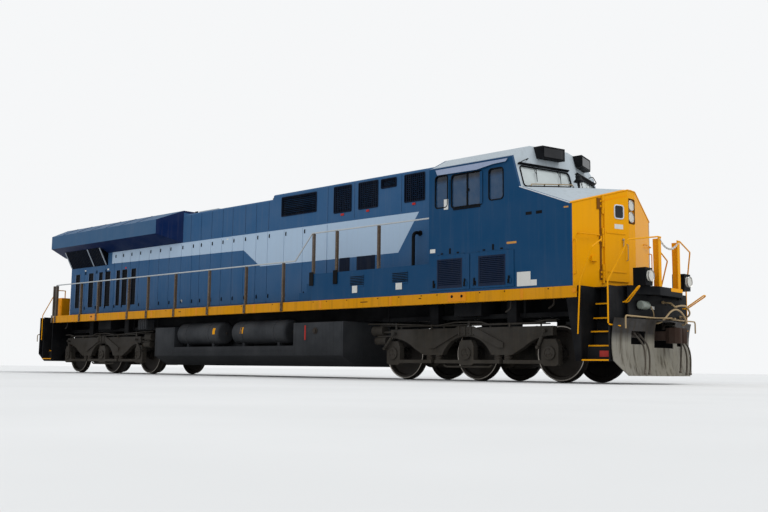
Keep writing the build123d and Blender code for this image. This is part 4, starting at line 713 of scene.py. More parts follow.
class Pattern(Enum):
    """Where a second colour lies on a painted part."""

    PLAIN = "plain"
    BAND = "band"
    RAIL = "rail"
    DOOR_PORT = "door port"
    SLOTS = "slots"
    LOUVRES = "louvres"
    SHADED = "shaded"
    TOP = "top"


@dataclass(frozen=True)
class Finish:
    """A painted, cast or worn surface: its colours, gloss and weather."""

    name: str
    colour: str
    roughness: float = 0.42
    metallic: float = 0.0
    specular: float = 0.14
    coat: float = 0.0
    fade: float = 0.5
    streaks: float = 0.2
    dust: float = 0.4
    dust_top: float = 2.6
    dust_colour: str = "8a7f70"
    chips: float = 0.0
    chip_colour: str = "4a4440"
    edge: float = 0.006
    grain: float = 60.0
    relief: float = 0.12
    second: str = ""
    pattern: Pattern = Pattern.PLAIN

    def _mask(self, sheet: Sheet, effects: Effects, vector: object) -> Optional[object]:
        """The mask of the second colour, or None where the piece has one colour.

        Args:
            sheet: The material's sheet.
            effects: The shared node groups.
            vector: The Object coordinates.

        Returns:
            The mask or None.
        """
        _, y, z = sheet.parts(vector)
        if self.pattern in (Pattern.BAND, Pattern.SLOTS):
            return sheet.group(effects.band, Vector=vector)["Mask"]
        # Painted shade: the battery door louvres take the darker second colour.
        if self.pattern is Pattern.LOUVRES:
            return sheet.group(effects.louvres, Vector=vector)["Mask"]
        # Painted shade: the upper plow takes the darker second colour.
        if self.pattern is Pattern.TOP:
            return sheet.span(z, RAIL + 0.70, RAIL + 0.90)
        # Painted shade: faces that point forward or down take the darker second colour.
        if self.pattern is Pattern.SHADED:
            facing = sheet.parts(sheet.node("ShaderNodeNewGeometry").outputs["True Normal"])
            return sheet.span(sheet.math("MAXIMUM", facing[0], sheet.times(facing[2], -1.0)), 0.2, 0.45)
        if self.pattern is Pattern.RAIL:
            return sheet.math("GREATER_THAN", z, RAIL + 2.705)
        if self.pattern is Pattern.DOOR_PORT:
            across = sheet.math("LESS_THAN", sheet.math("ABSOLUTE", sheet.plus(y, 0.40)), 0.108)
            return sheet.times(across, sheet.within(z, RAIL + 3.23, 0.126))
        return None

    def make(self, effects: Effects) -> bpy.types.Material:
        """Builds the material.

        Args:
            effects: The shared node groups.

        Returns:
            The new material.
        """
        material, sheet, shader, vector = Sheet.of_material(self.name)
        colour: object = srgb(self.colour)
        mask = self._mask(sheet, effects, vector)
        if mask is not None:
            colour = sheet.mix(mask, colour, srgb(self.second))
        weather = sheet.group(
            effects.weather,
            Vector=vector,
            Colour=colour,
            Dust_Colour=srgb(self.dust_colour),
            Fade=self.fade,
            Streaks=self.streaks,
            Dust=self.dust,
            Dust_Top=self.dust_top,
        )
        final = weather["Colour"]
        rough = sheet.plus(self.roughness, sheet.times(weather["Dust"], 0.35))
        if self.chips > 0.0:
            chips = sheet.group(
                effects.chips,
                Vector=vector,
                Colour=final,
                Chip_Colour=srgb(self.chip_colour),
                Amount=self.chips,
                Edge=self.edge,
            )
            final = chips["Colour"]
            rough = sheet.plus(rough, sheet.times(chips["Mask"], 0.15))
        for label, value in (
            ("Specular IOR Level", self.specular),
            ("Coat Weight", self.coat),
            ("Coat Roughness", 0.15),
            ("Metallic", self.metallic),
        ):
            shader.inputs[label].default_value = value
        # Painted shade: inside the intake slots the paint turns near black and loses its coat.
        if self.pattern is Pattern.SLOTS:
            slots = sheet.group(effects.slots, Vector=vector)["Mask"]
            final = sheet.mix(slots, final, srgb("03060c"))
            sheet.feed(
                shader.inputs["Coat Weight"], sheet.times(sheet.math("SUBTRACT", 1.0, slots), self.coat)
            )
        sheet.feed(shader.inputs["Base Color"], final)
        sheet.feed(shader.inputs["Roughness"], sheet.math("MINIMUM", rough, 0.95))
        bump = sheet.node("ShaderNodeBump")
        bump.inputs["Strength"].default_value = self.relief
        bump.inputs["Distance"].default_value = 0.01
        grain = sheet.group(effects.grain, Vector=vector, Scale=self.grain, Waves=0.5)
        sheet.feed(bump.inputs["Height"], grain["Height"])
        sheet.feed(shader.inputs["Normal"], bump.outputs["Normal"])
        return material


@dataclass(frozen=True)
class Glazing:
    """Tinted window glass with a film of dust, a painted shadow of the side awnings across the tops of the
    side windows, and pale in the windshield.
    """

    name: str
    tint: str
    front_tint: str
    transmission: float
    roughness: float
    # painted shadow of the awnings on the tops of the side windows
    awning_shadow_tint: str = "0a1728"
    front_x: float = 8.35

    def make(self, effects: Effects) -> bpy.types.Material:
        """Builds the material.

        Args:
            effects: The shared node groups, of which glass takes none.

        Returns:
            The new material.
        """
        material, sheet, shader, vector = Sheet.of_material(self.name)
        film = sheet.span(sheet.noise(vector, 5.0, 4.0, 0.55), 0.4, 0.75, 0.0, 0.12)
        x, _, z = sheet.parts(vector)
        # Painted shadow: the side glass darkens towards its top, under the awnings.
        side = sheet.mix(sheet.span(z, RAIL + 4.02, RAIL + 4.12), srgb(self.tint), srgb(self.awning_shadow_tint))
        tint = sheet.mix(sheet.math("GREATER_THAN", x, self.front_x), side, srgb(self.front_tint))
        sheet.feed(shader.inputs["Base Color"], sheet.mix(film, tint, srgb("8c8a84")))
        sheet.feed(shader.inputs["Roughness"], sheet.plus(film, self.roughness))
        shader.inputs["Transmission Weight"].default_value = self.transmission
        shader.inputs["IOR"].default_value = 1.45
        shader.inputs["Metallic"].default_value = 0.0
        return material


class Paint(Enum):
    """Every finish on the locomotive."""

    NAVY = Finish(
        "navy_paint", "2e547a", 0.36, coat=0.06, specular=0.03, fade=0.06, dust=0.05, streaks=0.05,
        second="a2b6ca", pattern=Pattern.BAND,
    )
    # Inside the intake slots this paint turns near black as painted shade.
    DOORS = Finish(
        "door_paint", "2e547a", 0.36, coat=0.06, specular=0.03, fade=0.06, dust=0.05, streaks=0.05,
        second="a2b6ca", pattern=Pattern.SLOTS,
    )
    # The dark second colour is painted shade over the battery door louvres.
    NAVY_PLAIN = Finish(
        "navy_plain", "033a5f", 0.30, coat=0.02, specular=0.10, fade=0.03, dust=0.03, streaks=0.03,
        second="081a33", pattern=Pattern.LOUVRES,
    )
    # The dark second colour is painted shade on the forward-facing and underside faces of the wings.
    WING = Finish(
        "wing_paint", "355676", 0.45, specular=0.05, fade=0.06, dust=0.02, streaks=0.05,
        second="001a44", pattern=Pattern.SHADED,
    )
    YELLOW = Finish(
        "yellow_paint", "dc9600", 0.36, specular=0.05, fade=0.02, dust=0.06, streaks=0.07, chips=0.6,
        dust_top=2.0, dust_colour="7a5a2a",
    )
    SILL = Finish(
        "sill_paint", "c88700", 0.38, specular=0.05, fade=0.05, dust=0.12, streaks=0.25, chips=0.8,
        dust_top=2.0, dust_colour="4e3818",
    )
    YELLOW_DOOR = Finish(
        "yellow_door", "dc9600", 0.36, specular=0.05, fade=0.02, dust=0.05, streaks=0.06,
        dust_colour="7a5a2a", second="16222e", pattern=Pattern.DOOR_PORT,
    )
    ROOF = Finish("roof_paint", "a4aeb4", 0.5, fade=0.3, dust=0.08, streaks=0.18, dust_colour="6f6a62")
    RAIL = Finish("rail_paint", "3b3326", 0.5, dust=0.2, chips=0.6, second="a9aeb0", pattern=Pattern.RAIL)
    POST = Finish(
        "post_paint", "4a3a2a", 0.55, fade=0.2, dust=0.2, streaks=0.3, dust_colour="8a7c66",
        chips=0.9, chip_colour="a79f8c", edge=0.012,
    )
    ORANGE_POST = Finish(
        "orange_post", "dc8c02", 0.42, specular=0.05, fade=0.02, dust=0.12, streaks=0.15,
        dust_colour="6b4a20", chips=0.6, chip_colour="f0b428", edge=0.010,
    )
    AWNING = Finish("awning_sheet", "8b97b0", 0.5, fade=0.15, dust=0.1, dust_colour="6f6a62")
    BLACK = Finish(
        "black_paint", "07090d", 0.5, specular=0.05, fade=0.06, dust=0.10, streaks=0.08,
        dust_colour="3a352e", chips=0.5, chip_colour="2c2824",
    )
    VENT = Finish(
        "vent_black", "050a12", 0.6, specular=0.03, fade=0.01, dust=0.03, streaks=0.03, dust_colour="2a2825"
    )
    # The near-black dust colour makes the tank darker towards the bottom.
    TANK = Finish(
        "tank_paint", "2a2c2f", 0.55, specular=0.08, fade=0.1, dust=0.95, streaks=0.15, dust_top=1.05,
        dust_colour="0e0d0d",
    )
    # The dark second colour is painted shade over the upper plow.
    PLOW = Finish(
        "plow_paint", "7a766a", 0.6, specular=0.06, fade=0.3, dust=0.3, streaks=0.8, dust_top=1.3,
        dust_colour="3b342b", chips=0.9, chip_colour="3a2c1f", relief=0.3, second="1d1915",
        pattern=Pattern.TOP,
    )
    TRUCK = Finish(
        "truck_metal", "1f1c18", 0.65, fade=0.1, dust=0.6, streaks=0.25, dust_top=1.5, dust_colour="453e34",
        grain=90.0, relief=0.45,
    )
    WHEEL = Finish(
        "wheel_steel", "14110e", 0.5, metallic=0.3, fade=0.1, streaks=0.1, dust_top=1.3, dust_colour="352c22",
        relief=0.3,
    )
    IRON = Finish("engine_iron", "26211d", 0.6, metallic=0.35, fade=0.1, dust_colour="4a4036", relief=0.4)
    RUBBER = Finish(
        "hose_rubber", "1c1a18", 0.75, fade=0.1, dust=0.85, streaks=0.0, dust_top=1.3, dust_colour="6e6558",
        grain=140.0, relief=0.25,
    )
    COUPLING = Finish("coupling_metal", "4e483f", 0.5, metallic=0.7, dust=0.5, dust_top=1.6, chips=0.4)
    COUPLER = Finish(
        "coupler_rust", "2d1c14", 0.65, metallic=0.2, fade=0.1, dust=0.3, streaks=0.1, dust_colour="4d4136",
        chips=0.6, chip_colour="5a4030", relief=0.45,
    )
    GASKET = Finish(
        "gasket_rubber", "080a0d", 0.6, specular=0.06, fade=0.03, dust=0.06, streaks=0.03,
        dust_colour="2a2825", relief=0.1,
    )
    TRIM = Finish("interior_trim", "5a5d5c", 0.7, fade=0.1, dust=0.1, streaks=0.0, relief=0.2)
    TAN = Finish("tan_paint", "9c8560", 0.5, fade=0.1, dust=0.25, dust_top=2.0, chips=0.6)
    STEEL = Finish("bare_steel", "9c9a95", 0.35, metallic=0.9, dust=0.2)
    PALE = Finish("pale_plate", "c9c9c4", 0.45, dust=0.3, streaks=0.15, relief=0.05)
    RED = Finish("red_plate", "a8201a", 0.45, fade=0.05, dust=0.1, streaks=0.05, relief=0.05)
    BEAD = Finish("pale_bead", "c4c9cf", 0.4, dust=0.1, streaks=0.1)
    ORANGE = Finish("orange_label", "b98238", 0.45, fade=0.1, dust=0.1, relief=0.05)
    ORANGE_YELLOW = Finish(
        "sill_patch", "cf8200", 0.38, coat=0.05, fade=0.02, dust=0.08, dust_top=2.2, dust_colour="7a5a2a",
        chips=0.5
    )
    SIGN = Finish(
        "blank_sign_glass", "0c0e11", 0.15, coat=0.5, fade=0.05, dust=0.1, streaks=0.05, relief=0.03
    )
    # Also the dark patches of painted shade low on the hood side.
    VENT_BAR = Finish("vent_bars", "0c1729", 0.5, specular=0.04, fade=0.02, dust=0.08, streaks=0.05)
    # Brown of the nose hinge plates, and painted shade in the recess along the door's hinge side.
    BROWN = Finish("brown_hinges_and_gap_shade", "6e4206", 0.5, fade=0.0, dust=0.05, streaks=0.1, dust_colour="3a2a14")
    # Painted highlight: a paler blue for the lit edges of the intake slots.
    SLOT_EDGE = Finish("slot_edges", "566d8c", 0.45, fade=0.1, dust=0.1, streaks=0.15)
    EDGE_GREY = Finish("pale_edges", "7f8b98", 0.5, dust=0.3, streaks=0.3)
    CAN = Finish("green_grey_can", "5d6a60", 0.45, coat=0.2, dust=0.35, dust_top=2.2)
    RIM = Finish("worn_rim", "a09a92", 0.3, metallic=0.9, fade=0.1, dust=0.25, streaks=0.1)
    LAMP = Glazing("lamp_glass", "e9edf0", "f2f0e6", 0.40, 0.06)
    GLASS = Glazing("window_glass", "24496c", "d4dcdb", 0.30, 0.02)


class Palette:
    """Makes each finish once and puts it on pieces."""

    def __init__(self) -> None:
        """Builds the shared groups."""
        self.effects = Effects()
        self._made: dict[Paint, bpy.types.Material] = {}

    def dress(self, obj: Piece, paint: Paint) -> None:
        """Puts a finish on every slot of a new piece or a CAD node.

        Args:
            obj: A new piece or a CAD node.
            paint: The finish.
        """
        if paint not in self._made:
            self._made[paint] = paint.value.make(self.effects)
        if not obj.material_slots:
            obj.data.materials.append(self._made[paint])
        for slot in obj.material_slots:
            slot.material = self._made[paint]


TRUCK_NODES = ("truck_frame", "axle_boxes", "traction_motors", "brake_gear")
NODE_PAINT: dict[Paint, str] = {
    Paint.NAVY: "engine_hood equipment_cab",
    Paint.DOORS: "hood_doors radiator_cab",
    Paint.NAVY_PLAIN: "cab_side_right cab_side_left cab_rear_wall cab_rear_door battery_door_rear"
    " battery_door_front walkway_cabinets cab_awnings",
    Paint.WING: "radiator_wings",
    Paint.YELLOW: "nose_front end_handrails",
    Paint.SILL: "side_sills",
    Paint.YELLOW_DOOR: "nose_door",
    Paint.ROOF: "cab_roof windshield_frame nose_top",
    Paint.RAIL: "side_handrails",
    Paint.BLACK: "step_wells pilot_plates underframe number_boards roof_fittings",
    Paint.VENT: "side_grilles radiator_screens",
    Paint.TANK: "fuel_tank air_reservoirs",
    Paint.PLOW: "front_plow",
    Paint.TRUCK: " ".join(f"{part}_{end}" for part in TRUCK_NODES for end in ("front", "rear")),
    Paint.WHEEL: " ".join(f"wheelset_{number}" for number in range(1, 7)),
    Paint.IRON: "engine_block hose_fittings",
    Paint.COUPLER: "coupler_front coupler_rear",
    Paint.TAN: "cut_levers",
    Paint.RUBBER: "mu_hose_right_outer mu_hose_right_inner mu_hose_left_inner mu_hose_left_outer brake_hose",
    Paint.COUPLING: "hose_couplings",
    Paint.TRIM: "cab_interior",
    Paint.LAMP: "lamps",
    Paint.GLASS: "cab_glass",
}


# ---- Studio ----


@dataclass
class Studio:
    """The floor, the lights and the camera of the photograph's viewpoint."""

    place: tuple[float, float, float] = (19.0543, -16.5759, 0.2261)
    yaw: float = 0.7519
    pitch: float = 0.1181
    roll: float = 0.0117
    lens: float = 44.608
    daylight: tuple[float, ...] = (0.93, 0.96, 1.0, 1.0)
    daylight_strength: float = 0.8
    backdrop: tuple[float, ...] = (0.92, 0.93, 0.94, 1.0)

    def build(self) -> None:
        """Sets the camera, the world, the lamps and the floor."""
        bpy.context.scene.view_settings.view_transform = "Standard"
        self._camera()
        self._world()
        self._lamp("key", 1.5, 30.0, Vector((0.70, 0.40, 1.0)))
        self._lamp("fill", 0.45, 60.0, Vector((0.25, -1.0, 0.55)))
        self._floor()

    def _camera(self) -> None:
        """Makes the camera and turns it by its yaw, pitch and roll."""
        data = bpy.data.cameras.new("camera")
        data.lens, data.sensor_width = self.lens, 36.0
        data.clip_start, data.clip_end = 0.1, 500.0
        camera = bpy.data.objects.new("camera", data)
        bpy.context.scene.collection.objects.link(camera)
        turn = Matrix.Rotation(self.yaw, 4, "Z") @ Matrix.Rotation(math.pi / 2 + self.pitch, 4, "X")
        camera.matrix_world = Matrix.Translation(self.place) @ turn @ Matrix.Rotation(self.roll, 4, "Z")
        bpy.context.scene.camera = camera

    def _world(self) -> None:
        """A white backdrop for the camera and a plain soft light for the object."""
        world = bpy.data.worlds.new("studio")
        bpy.context.scene.world = world
        world.use_nodes = True
        sheet = Sheet(world.node_tree)
        light = world.node_tree.nodes["Background"]
        sheet.feed(light.inputs["Color"], self.daylight)
        sheet.feed(light.inputs["Strength"], self.daylight_strength)
        seen = sheet.wire("ShaderNodeBackground", (self.backdrop,))[0]
        rays = sheet.node("ShaderNodeLightPath").outputs
        pick = sheet.math("MAXIMUM", rays["Is Camera Ray"], rays["Is Transmission Ray"])
        chosen = sheet.wire("ShaderNodeMixShader", (pick, light.outputs[0], seen))[0]
        sheet.feed(world.node_tree.nodes["World Output"].inputs["Surface"], chosen)

    @staticmethod
    def _lamp(name: str, strength: float, angle: float, aim: Vector) -> None:
        """Makes a soft sun.

        Args:
            name: Its name.
            strength: Its strength.
            angle: Its width in degrees.
            aim: The direction towards it.
        """
        data = bpy.data.lights.new(name, "SUN")
        data.energy = strength
        data.angle = math.radians(angle)
        lamp = bpy.data.objects.new(name, data)
        lamp.rotation_euler = aim.to_track_quat("Z", "Y").to_euler()
        bpy.context.scene.collection.objects.link(lamp)

    @staticmethod
    def _floor() -> None:
        """A plain pale floor at the flange tips."""
        bpy.ops.mesh.primitive_plane_add(size=400.0, location=(0.0, 0.0, -0.001))
        floor = Bench.settle(bpy.context.object)
        floor.name = floor.data.name = "floor"
        material, sheet, shader, vector = Sheet.of_material("floor")
        shade = sheet.span(sheet.noise(vector, 0.4, 3.0, 0.55), 0.3, 0.7)
        sheet.feed(
            shader.inputs["Base Color"], sheet.mix(shade, (0.66, 0.66, 0.65, 1.0), (0.7, 0.7, 0.69, 1.0))
        )
        shader.inputs["Roughness"].default_value = 0.9
        floor.data.materials.append(material)


# ---- Sub-assemblies ----


@dataclass
class Assembly:
    """What every sub-assembly has: the palette, the body it rides on and calls that add finished pieces."""

    palette: Palette
    body: str = BODY

    def put(self, name: str, parts: Piece | Sequence[Piece], paint: Paint, body: str = "") -> Piece:
        """Joins parts into a piece, lifts it into the frame, dresses it, makes it ride and reports it.

        Args:
            name: The piece's name.
            parts: One object or more, in heights above the rail.
            paint: The piece's finish.
            body: The body it rides on, or empty for the assembly's own.

        Returns:
            The finished piece.
        """
        obj = Bench.join([parts] if isinstance(parts, Piece) else parts)
        obj.name = obj.data.name = name
        obj.data.transform(shift(z=RAIL))
        self.palette.dress(obj, paint)
        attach(obj, body or self.body)
        log.info("%s: %d faces", obj.name, len(obj.data.polygons))
        return obj

    def pair(self, name: str, parts: Piece | Sequence[Piece], paint: Paint, body: str = "") -> Piece:
        """Adds right-side parts with their mirror image as one piece.

        Args:
            name: The piece's name.
            parts: One object or more on the right side, in heights above the rail.
            paint: The piece's finish.
            body: The body it rides on, or empty for the assembly's own.

        Returns:
            The finished piece.
        """
        right = Bench.join([parts] if isinstance(parts, Piece) else parts)
        mirror = Matrix.Scale(-1.0, 4, RIGHT)
        return self.put(name, Bench.copies(right, (Matrix.Identity(4), mirror)), paint, body)


@dataclass
class FreeHoses(Assembly):
    """The free air hoses at the front end, each a soft curve with a coupling head at its end."""

    radius: float = 0.016
    rows: tuple[float, ...] = (-0.900, -0.740, 0.740, 0.900)
    names: tuple[str, ...] = (
        "mu_hose_right_outer", "mu_hose_right_inner", "mu_hose_left_inner", "mu_hose_left_outer"
    )
    route: Pairs = (
        (10.640, 0.840),
        (10.700, 0.780),
        (10.765, 0.700),
        (10.802, 0.590),
        (10.815, 0.465),
        (10.814, 0.345),
        (10.808, 0.235),
    )
    brake_y: float = 0.335
    brake_route: Pairs = (
        (10.640, 1.090),
        (10.722, 1.090),
        (10.803, 1.045),
        (10.862, 0.960),
        (10.895, 0.850),
        (10.905, 0.725),
        (10.900, 0.600),
        (10.892, 0.480),
        (10.885, 0.370),
        (10.880, 0.270),
    )
    neck: Pairs = (
        (0.0, 0.0), (0.019, 0.0), (0.021, 0.004), (0.021, 0.02), (0.018, 0.024),
        (0.018, 0.04), (0.024, 0.05), (0.024, 0.074), (0.02, 0.08), (0.0, 0.08),
    )

    def build(self) -> None:
        """Builds every hose with its coupling head."""
        runs = [(name, y, self.route) for name, y in zip(self.names, self.rows)]
        runs.append(("brake_hose", self.brake_y, self.brake_route))
        for name, y, route in runs:
            self._hose(name, [(x, y, RAIL + height) for x, height in route])

    def _hose(self, node: str, points: list[Point]) -> None:
        """One hose as a smooth spline through its route, and its head.

        Args:
            node: The CAD node that it stands for.
            points: The route's points in the frame.
        """
        curve = bpy.data.curves.new(node + "_cord", "CURVE")
        curve.dimensions = "3D"
        curve.bevel_depth, curve.bevel_resolution, curve.resolution_u = self.radius, 4, 8
        curve.use_fill_caps = True
        spline = curve.splines.new("NURBS")
        spline.points.add(len(points) - 1)
        for knot, place in zip(spline.points, points):
            knot.co = (*place, 1.0)
        spline.order_u = 3
        spline.use_endpoint_u = True
        cord = bpy.data.objects.new(node + "_cord", curve)
        bpy.context.scene.collection.objects.link(cord)
        self.palette.dress(cord, Paint.RUBBER)
        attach(cord, self.body)
        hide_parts(node)
        last = Vector(points[-1])
        head = self._head(node + "_head", last - UP * RAIL, (last - Vector(points[-2])).normalized())
        if node == self.names[0]:
            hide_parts("hose_couplings")

    def _head(self, name: str, last: Vector, run: Vector) -> Piece:
        """The clamp, neck and cast hook of one coupling head.

        Args:
            name: Its name.
            last: The hose's last point above the rail.
            run: The hose's direction there.

        Returns:
            The head.
        """
        tip = last + run * self.neck[-1][1]
        hook = Bench.block(tip - Vector((0.022, 0.02, 0.006)), tip + Vector((0.022, 0.02, 0.036)), 0.008, 3)
        lip = Bench.rod(
            tip + Vector((0.01, -0.021, 0.016)), tip + Vector((0.01, 0.021, 0.016)), 0.014, 16, 0.003
        )
        return self.put(name, [Bench.lathe(self.neck, last, run, 20), hook, lip], Paint.COUPLING)


@dataclass
class Cab(Assembly):
    """Gaskets, sashes, wipers, rails, straps and blank labels of the cab."""

    side: float = 1.530
    shield_foot: tuple[float, float] = (8.553, 3.742)  # the windshield's lower outer corner
    windows: tuple[Rect, ...] = (
        (6.434, 6.763, 3.530, 4.205), (6.867, 7.665, 3.490, 4.180), (7.822, 8.173, 3.550, 4.180),
    )
    sash_x: float = 7.270
    pane: Pairs = ((0.130, 4.190), (1.400, 4.190), (1.400, 3.765), (0.130, 3.895))
    wipers: tuple[float, ...] = (0.50, 1.12)
    board: Pairs = ((0.345, 4.425), (0.875, 4.425), (0.875, 4.625), (0.345, 4.625))
    awning: Pairs = (
        (6.460, 4.335), (6.530, 4.215), (7.560, 4.200), (7.950, 4.262), (8.260, 4.275), (8.300, 4.335)
    )

    def shield(self, side: float, reach: float, height: float, proud: float = 0.0) -> Vector:
        """A point on one side's windshield plane, or out from it.

        Args:
            side: 1 for the left side, -1 for the right.
            reach: The distance from the middle.
            height: The height above the rail.
            proud: The distance out from the plane.

        Returns:
            The point.
        """
        x = self.shield_foot[0] + 0.25 * (self.side - reach) - 0.274 * (height - self.shield_foot[1])
        return Vector((x, side * reach, height)) + Vector((0.9376, 0.2344 * side, 0.2569)) * proud

    def build(self) -> None:
        """Builds every fitting of the cab."""
        self._side_windows()
        for side, hand in HANDS:
            self._windshield(side, hand)
            self._foot_rail(side, hand)
            self._number_face(side, hand)
            self._visor(side, hand)
        self._straps_and_bars()
        self._slots_and_labels()
        outline = [(x, -1.557 - 0.22 * (4.335 - z), z) for x, z in self.awning]
        self.pair("awning_sheets", Bench.sheet(outline, (0.0, -0.006, 0.0), 0.001), Paint.AWNING)
        self._latches()
        blinds = [
            Bench.block((8.30, side * 0.30, 4.10), (8.315, side * 1.20, 4.19), 0.004) for side, _ in HANDS
        ]
        self.put("sun_blinds", blinds, Paint.TRIM)

    def _side_windows(self) -> None:
        """The rubber round each side window, the sliding sash, its track, its catch and the arm rest."""
        y = -self.side - 0.002
        gaskets = [Bench.tube(upright(window, y), 0.013, 0.065, 2, True) for window in self.windows]
        self.pair("window_gaskets", gaskets, Paint.GASKET)
        rear, front, foot, head = self.windows[1]
        sash = self.sash_x
        parts = [
            Bench.block((sash - 0.018, y + 0.004, foot), (sash + 0.018, y + 0.022, head)),
            Bench.block((rear, y + 0.006, foot + 0.002), (front, y + 0.022, foot + 0.026)),
            Bench.block((sash + 0.02, y, 3.80), (sash + 0.05, y + 0.014, 3.86), 0.004),
            Bench.block(
                (rear + 0.05, y - 0.018, foot - 0.045), (front - 0.05, y + 0.006, foot - 0.018), 0.008, 3
            ),
        ]
        self.pair("window_sashes", parts, Paint.GASKET)

    def _windshield(self, side: float, hand: str) -> None:
        """The rubber round one windshield pane and its two wipers.

        Args:
            side: 1 for the left side, -1 for the right.
            hand: The side's name.
        """
        rim = [self.shield(side, reach, height, 0.002) for reach, height in self.pane]
        self.put(f"windshield_gasket_{hand}", Bench.tube(rim, 0.016, 0.07, 2, True), Paint.GASKET)
        parts = []
        for reach in self.wipers:
            spots = ((0.0, 4.235, -0.004), (0.0, 4.235, 0.040), (0.0, 4.235, 0.030), (-0.03, 4.19, 0.040),
                     (-0.10, 4.030, 0.020), (-0.13, 4.165, 0.012), (-0.08, 3.900, 0.012))
            foot, cap, *arm, head, tail = (
                self.shield(side, reach + along, z, lift) for along, z, lift in spots
            )
            parts += [Bench.rod(foot, cap, 0.016, 16, 0.003), Bench.tube(arm, 0.005, 0.03, 2)]
            parts.append(Bench.rod(head, tail, 0.007, 8, 0.002))
        self.put(f"wipers_{hand}", parts, Paint.GASKET)

    def _foot_rail(self, side: float, hand: str) -> None:
        """The low hand rail that lies in front of one pane, on its feet.

        Args:
            side: 1 for the left side, -1 for the right.
            hand: The side's name.
        """

        def spot(reach: float, lift: float) -> Point:
            """A point over the nose top at a distance from the middle.

            Args:
                reach: The distance from the middle.
                lift: The height over the nose top.

            Returns:
                The point.
            """
            share = (self.side - reach) / 1.390
            x, z = self.shield_foot
            return (x + share * 0.307 + 0.110, side * reach, z + share * 0.148 - 0.017 + lift)

        rail = [spot(1.36, 0.0), spot(1.34, 0.055), spot(0.24, 0.055), spot(0.22, 0.0)]
        self.put(f"foot_rail_{hand}", Bench.tube(rail, 0.010), Paint.TAN)
        feet = [
            Bench.rod(spot(reach, -0.010), spot(reach, 0.020), 0.022, 16, 0.004, 0.015)
            for reach in (1.36, 0.22)
        ]
        feet += [
            Bench.rod(spot(reach, -0.010), spot(reach, 0.052), 0.011, 12, 0.002) for reach in (1.0, 0.62)
        ]
        self.put(f"foot_rail_feet_{hand}", feet, Paint.GASKET)

    def _number_face(self, side: float, hand: str) -> None:
        """The framed blank glass of one number board.

        Args:
            side: 1 for the left side, -1 for the right.
            hand: The side's name.
        """
        corners = [Vector((self.shield(side, a, 4.400).x + 0.150, side * a, b)) for a, b in self.board]
        rim = [corner + AHEAD * 0.002 for corner in corners]
        self.put(f"number_rim_{hand}", Bench.tube(rim, 0.010, 0.02, 2, True), Paint.BLACK)
        pane = [corner - AHEAD * 0.001 for corner in corners]
        self.put(f"number_pane_{hand}", Bench.sheet(pane, AHEAD * 0.005, 0.001), Paint.SIGN)

    def _visor(self, side: float, hand: str) -> None:
        """The dark drip visor over one pane and the bent strut at its outer corner.

        Args:
            side: 1 for the left side, -1 for the right.
            hand: The side's name.
        """
        strip = ((1.440, 4.212, 0.0), (0.130, 4.212, 0.0), (0.130, 4.232, 0.055), (1.440, 4.232, 0.055))
        strut = ((1.420, 4.225, 0.0), (1.400, 4.235, 0.075), (1.190, 4.335, 0.085), (1.170, 4.335, 0.0))
        parts = [
            Bench.sheet([self.shield(side, *spot) for spot in strip], UP * 0.008, 0.001),
            Bench.tube([self.shield(side, *spot) for spot in strut], 0.009, 0.03),
        ]
        self.put(f"windshield_visor_{hand}", parts, Paint.GASKET)

    def _straps_and_bars(self) -> None:
        """The straps over the battery doors, the window pillar and the bars of the low cabinets."""
        y = -self.side
        straps = [(x - 0.022, x + 0.022, 2.552, 2.665) for x in (6.833, 7.923)]
        straps += [(x - 0.030, x + 0.030, 2.552, 2.580) for x in (6.620, 7.040, 7.700, 8.130)]
        self.put("door_straps", Bench.plates(straps, y - 0.010, y + 0.002), Paint.GASKET)
        self.pair(
            "window_pillars", Bench.block((7.604, y - 0.016, 3.505), (7.672, y + 0.004, 4.168), 0.004),
            Paint.NAVY_PLAIN
        )
        feet = [2.050 + 0.036 * row for row in range(6)]
        bars = [(rear, front, z, z + 0.017) for rear, front in ((3.955, 4.385), (5.240, 5.690)) for z in feet]
        self.put("cabinet_louvre_bars", Bench.plates(bars, -1.5415, -1.536, 0.0015, 1), Paint.GASKET)

    def _slots_and_labels(self) -> None:
        """The two small dark slots and the blank labels of the cab side."""
        slots = ((8.697, 8.837, 3.165, 3.225), (8.934, 9.071, 3.165, 3.225))
        pale = ((8.488, 8.800, 1.800, 2.075), (8.801, 8.940, 1.800, 1.913), (6.300, 6.440, 2.600, 2.680))
        warm = ((8.250, 8.480, 2.640, 2.682), (9.550, 9.650, 3.215, 3.245))
        near, far = -self.side - 0.002, -self.side + 0.001
        self.pair("vent_slots", Bench.plates(slots, near, far, 0.0008, 1), Paint.GASKET)
        self.put("pale_labels", Bench.plates(pale, near, far, 0.0008, 1), Paint.PALE)
        self.put("warm_labels", Bench.plates(warm, near, far, 0.0008, 1), Paint.ORANGE)
        self.put(
            "side_placard", Bench.block((6.670, -1.538, 3.480), (6.784, -1.529, 3.696), 0.002), Paint.PALE
        )

    def _latches(self) -> None:
        """The dark paddle latches of the battery doors, which ride on their doors."""
        for body, places in (("battery_door_rear", (6.420, 7.235)), ("battery_door_front", (7.475, 8.320))):
            parts = []
            for x in places:
                parts.append(Bench.block((x - 0.042, -1.558, 1.868), (x + 0.042, -1.545, 1.960), 0.008, 3))
                parts.append(Bench.rod((x, -1.564, 2.020), (x, -1.564, 1.880), 0.017, 12, 0.004))
            self.put(f"latches_{body}", parts, Paint.GASKET, body)


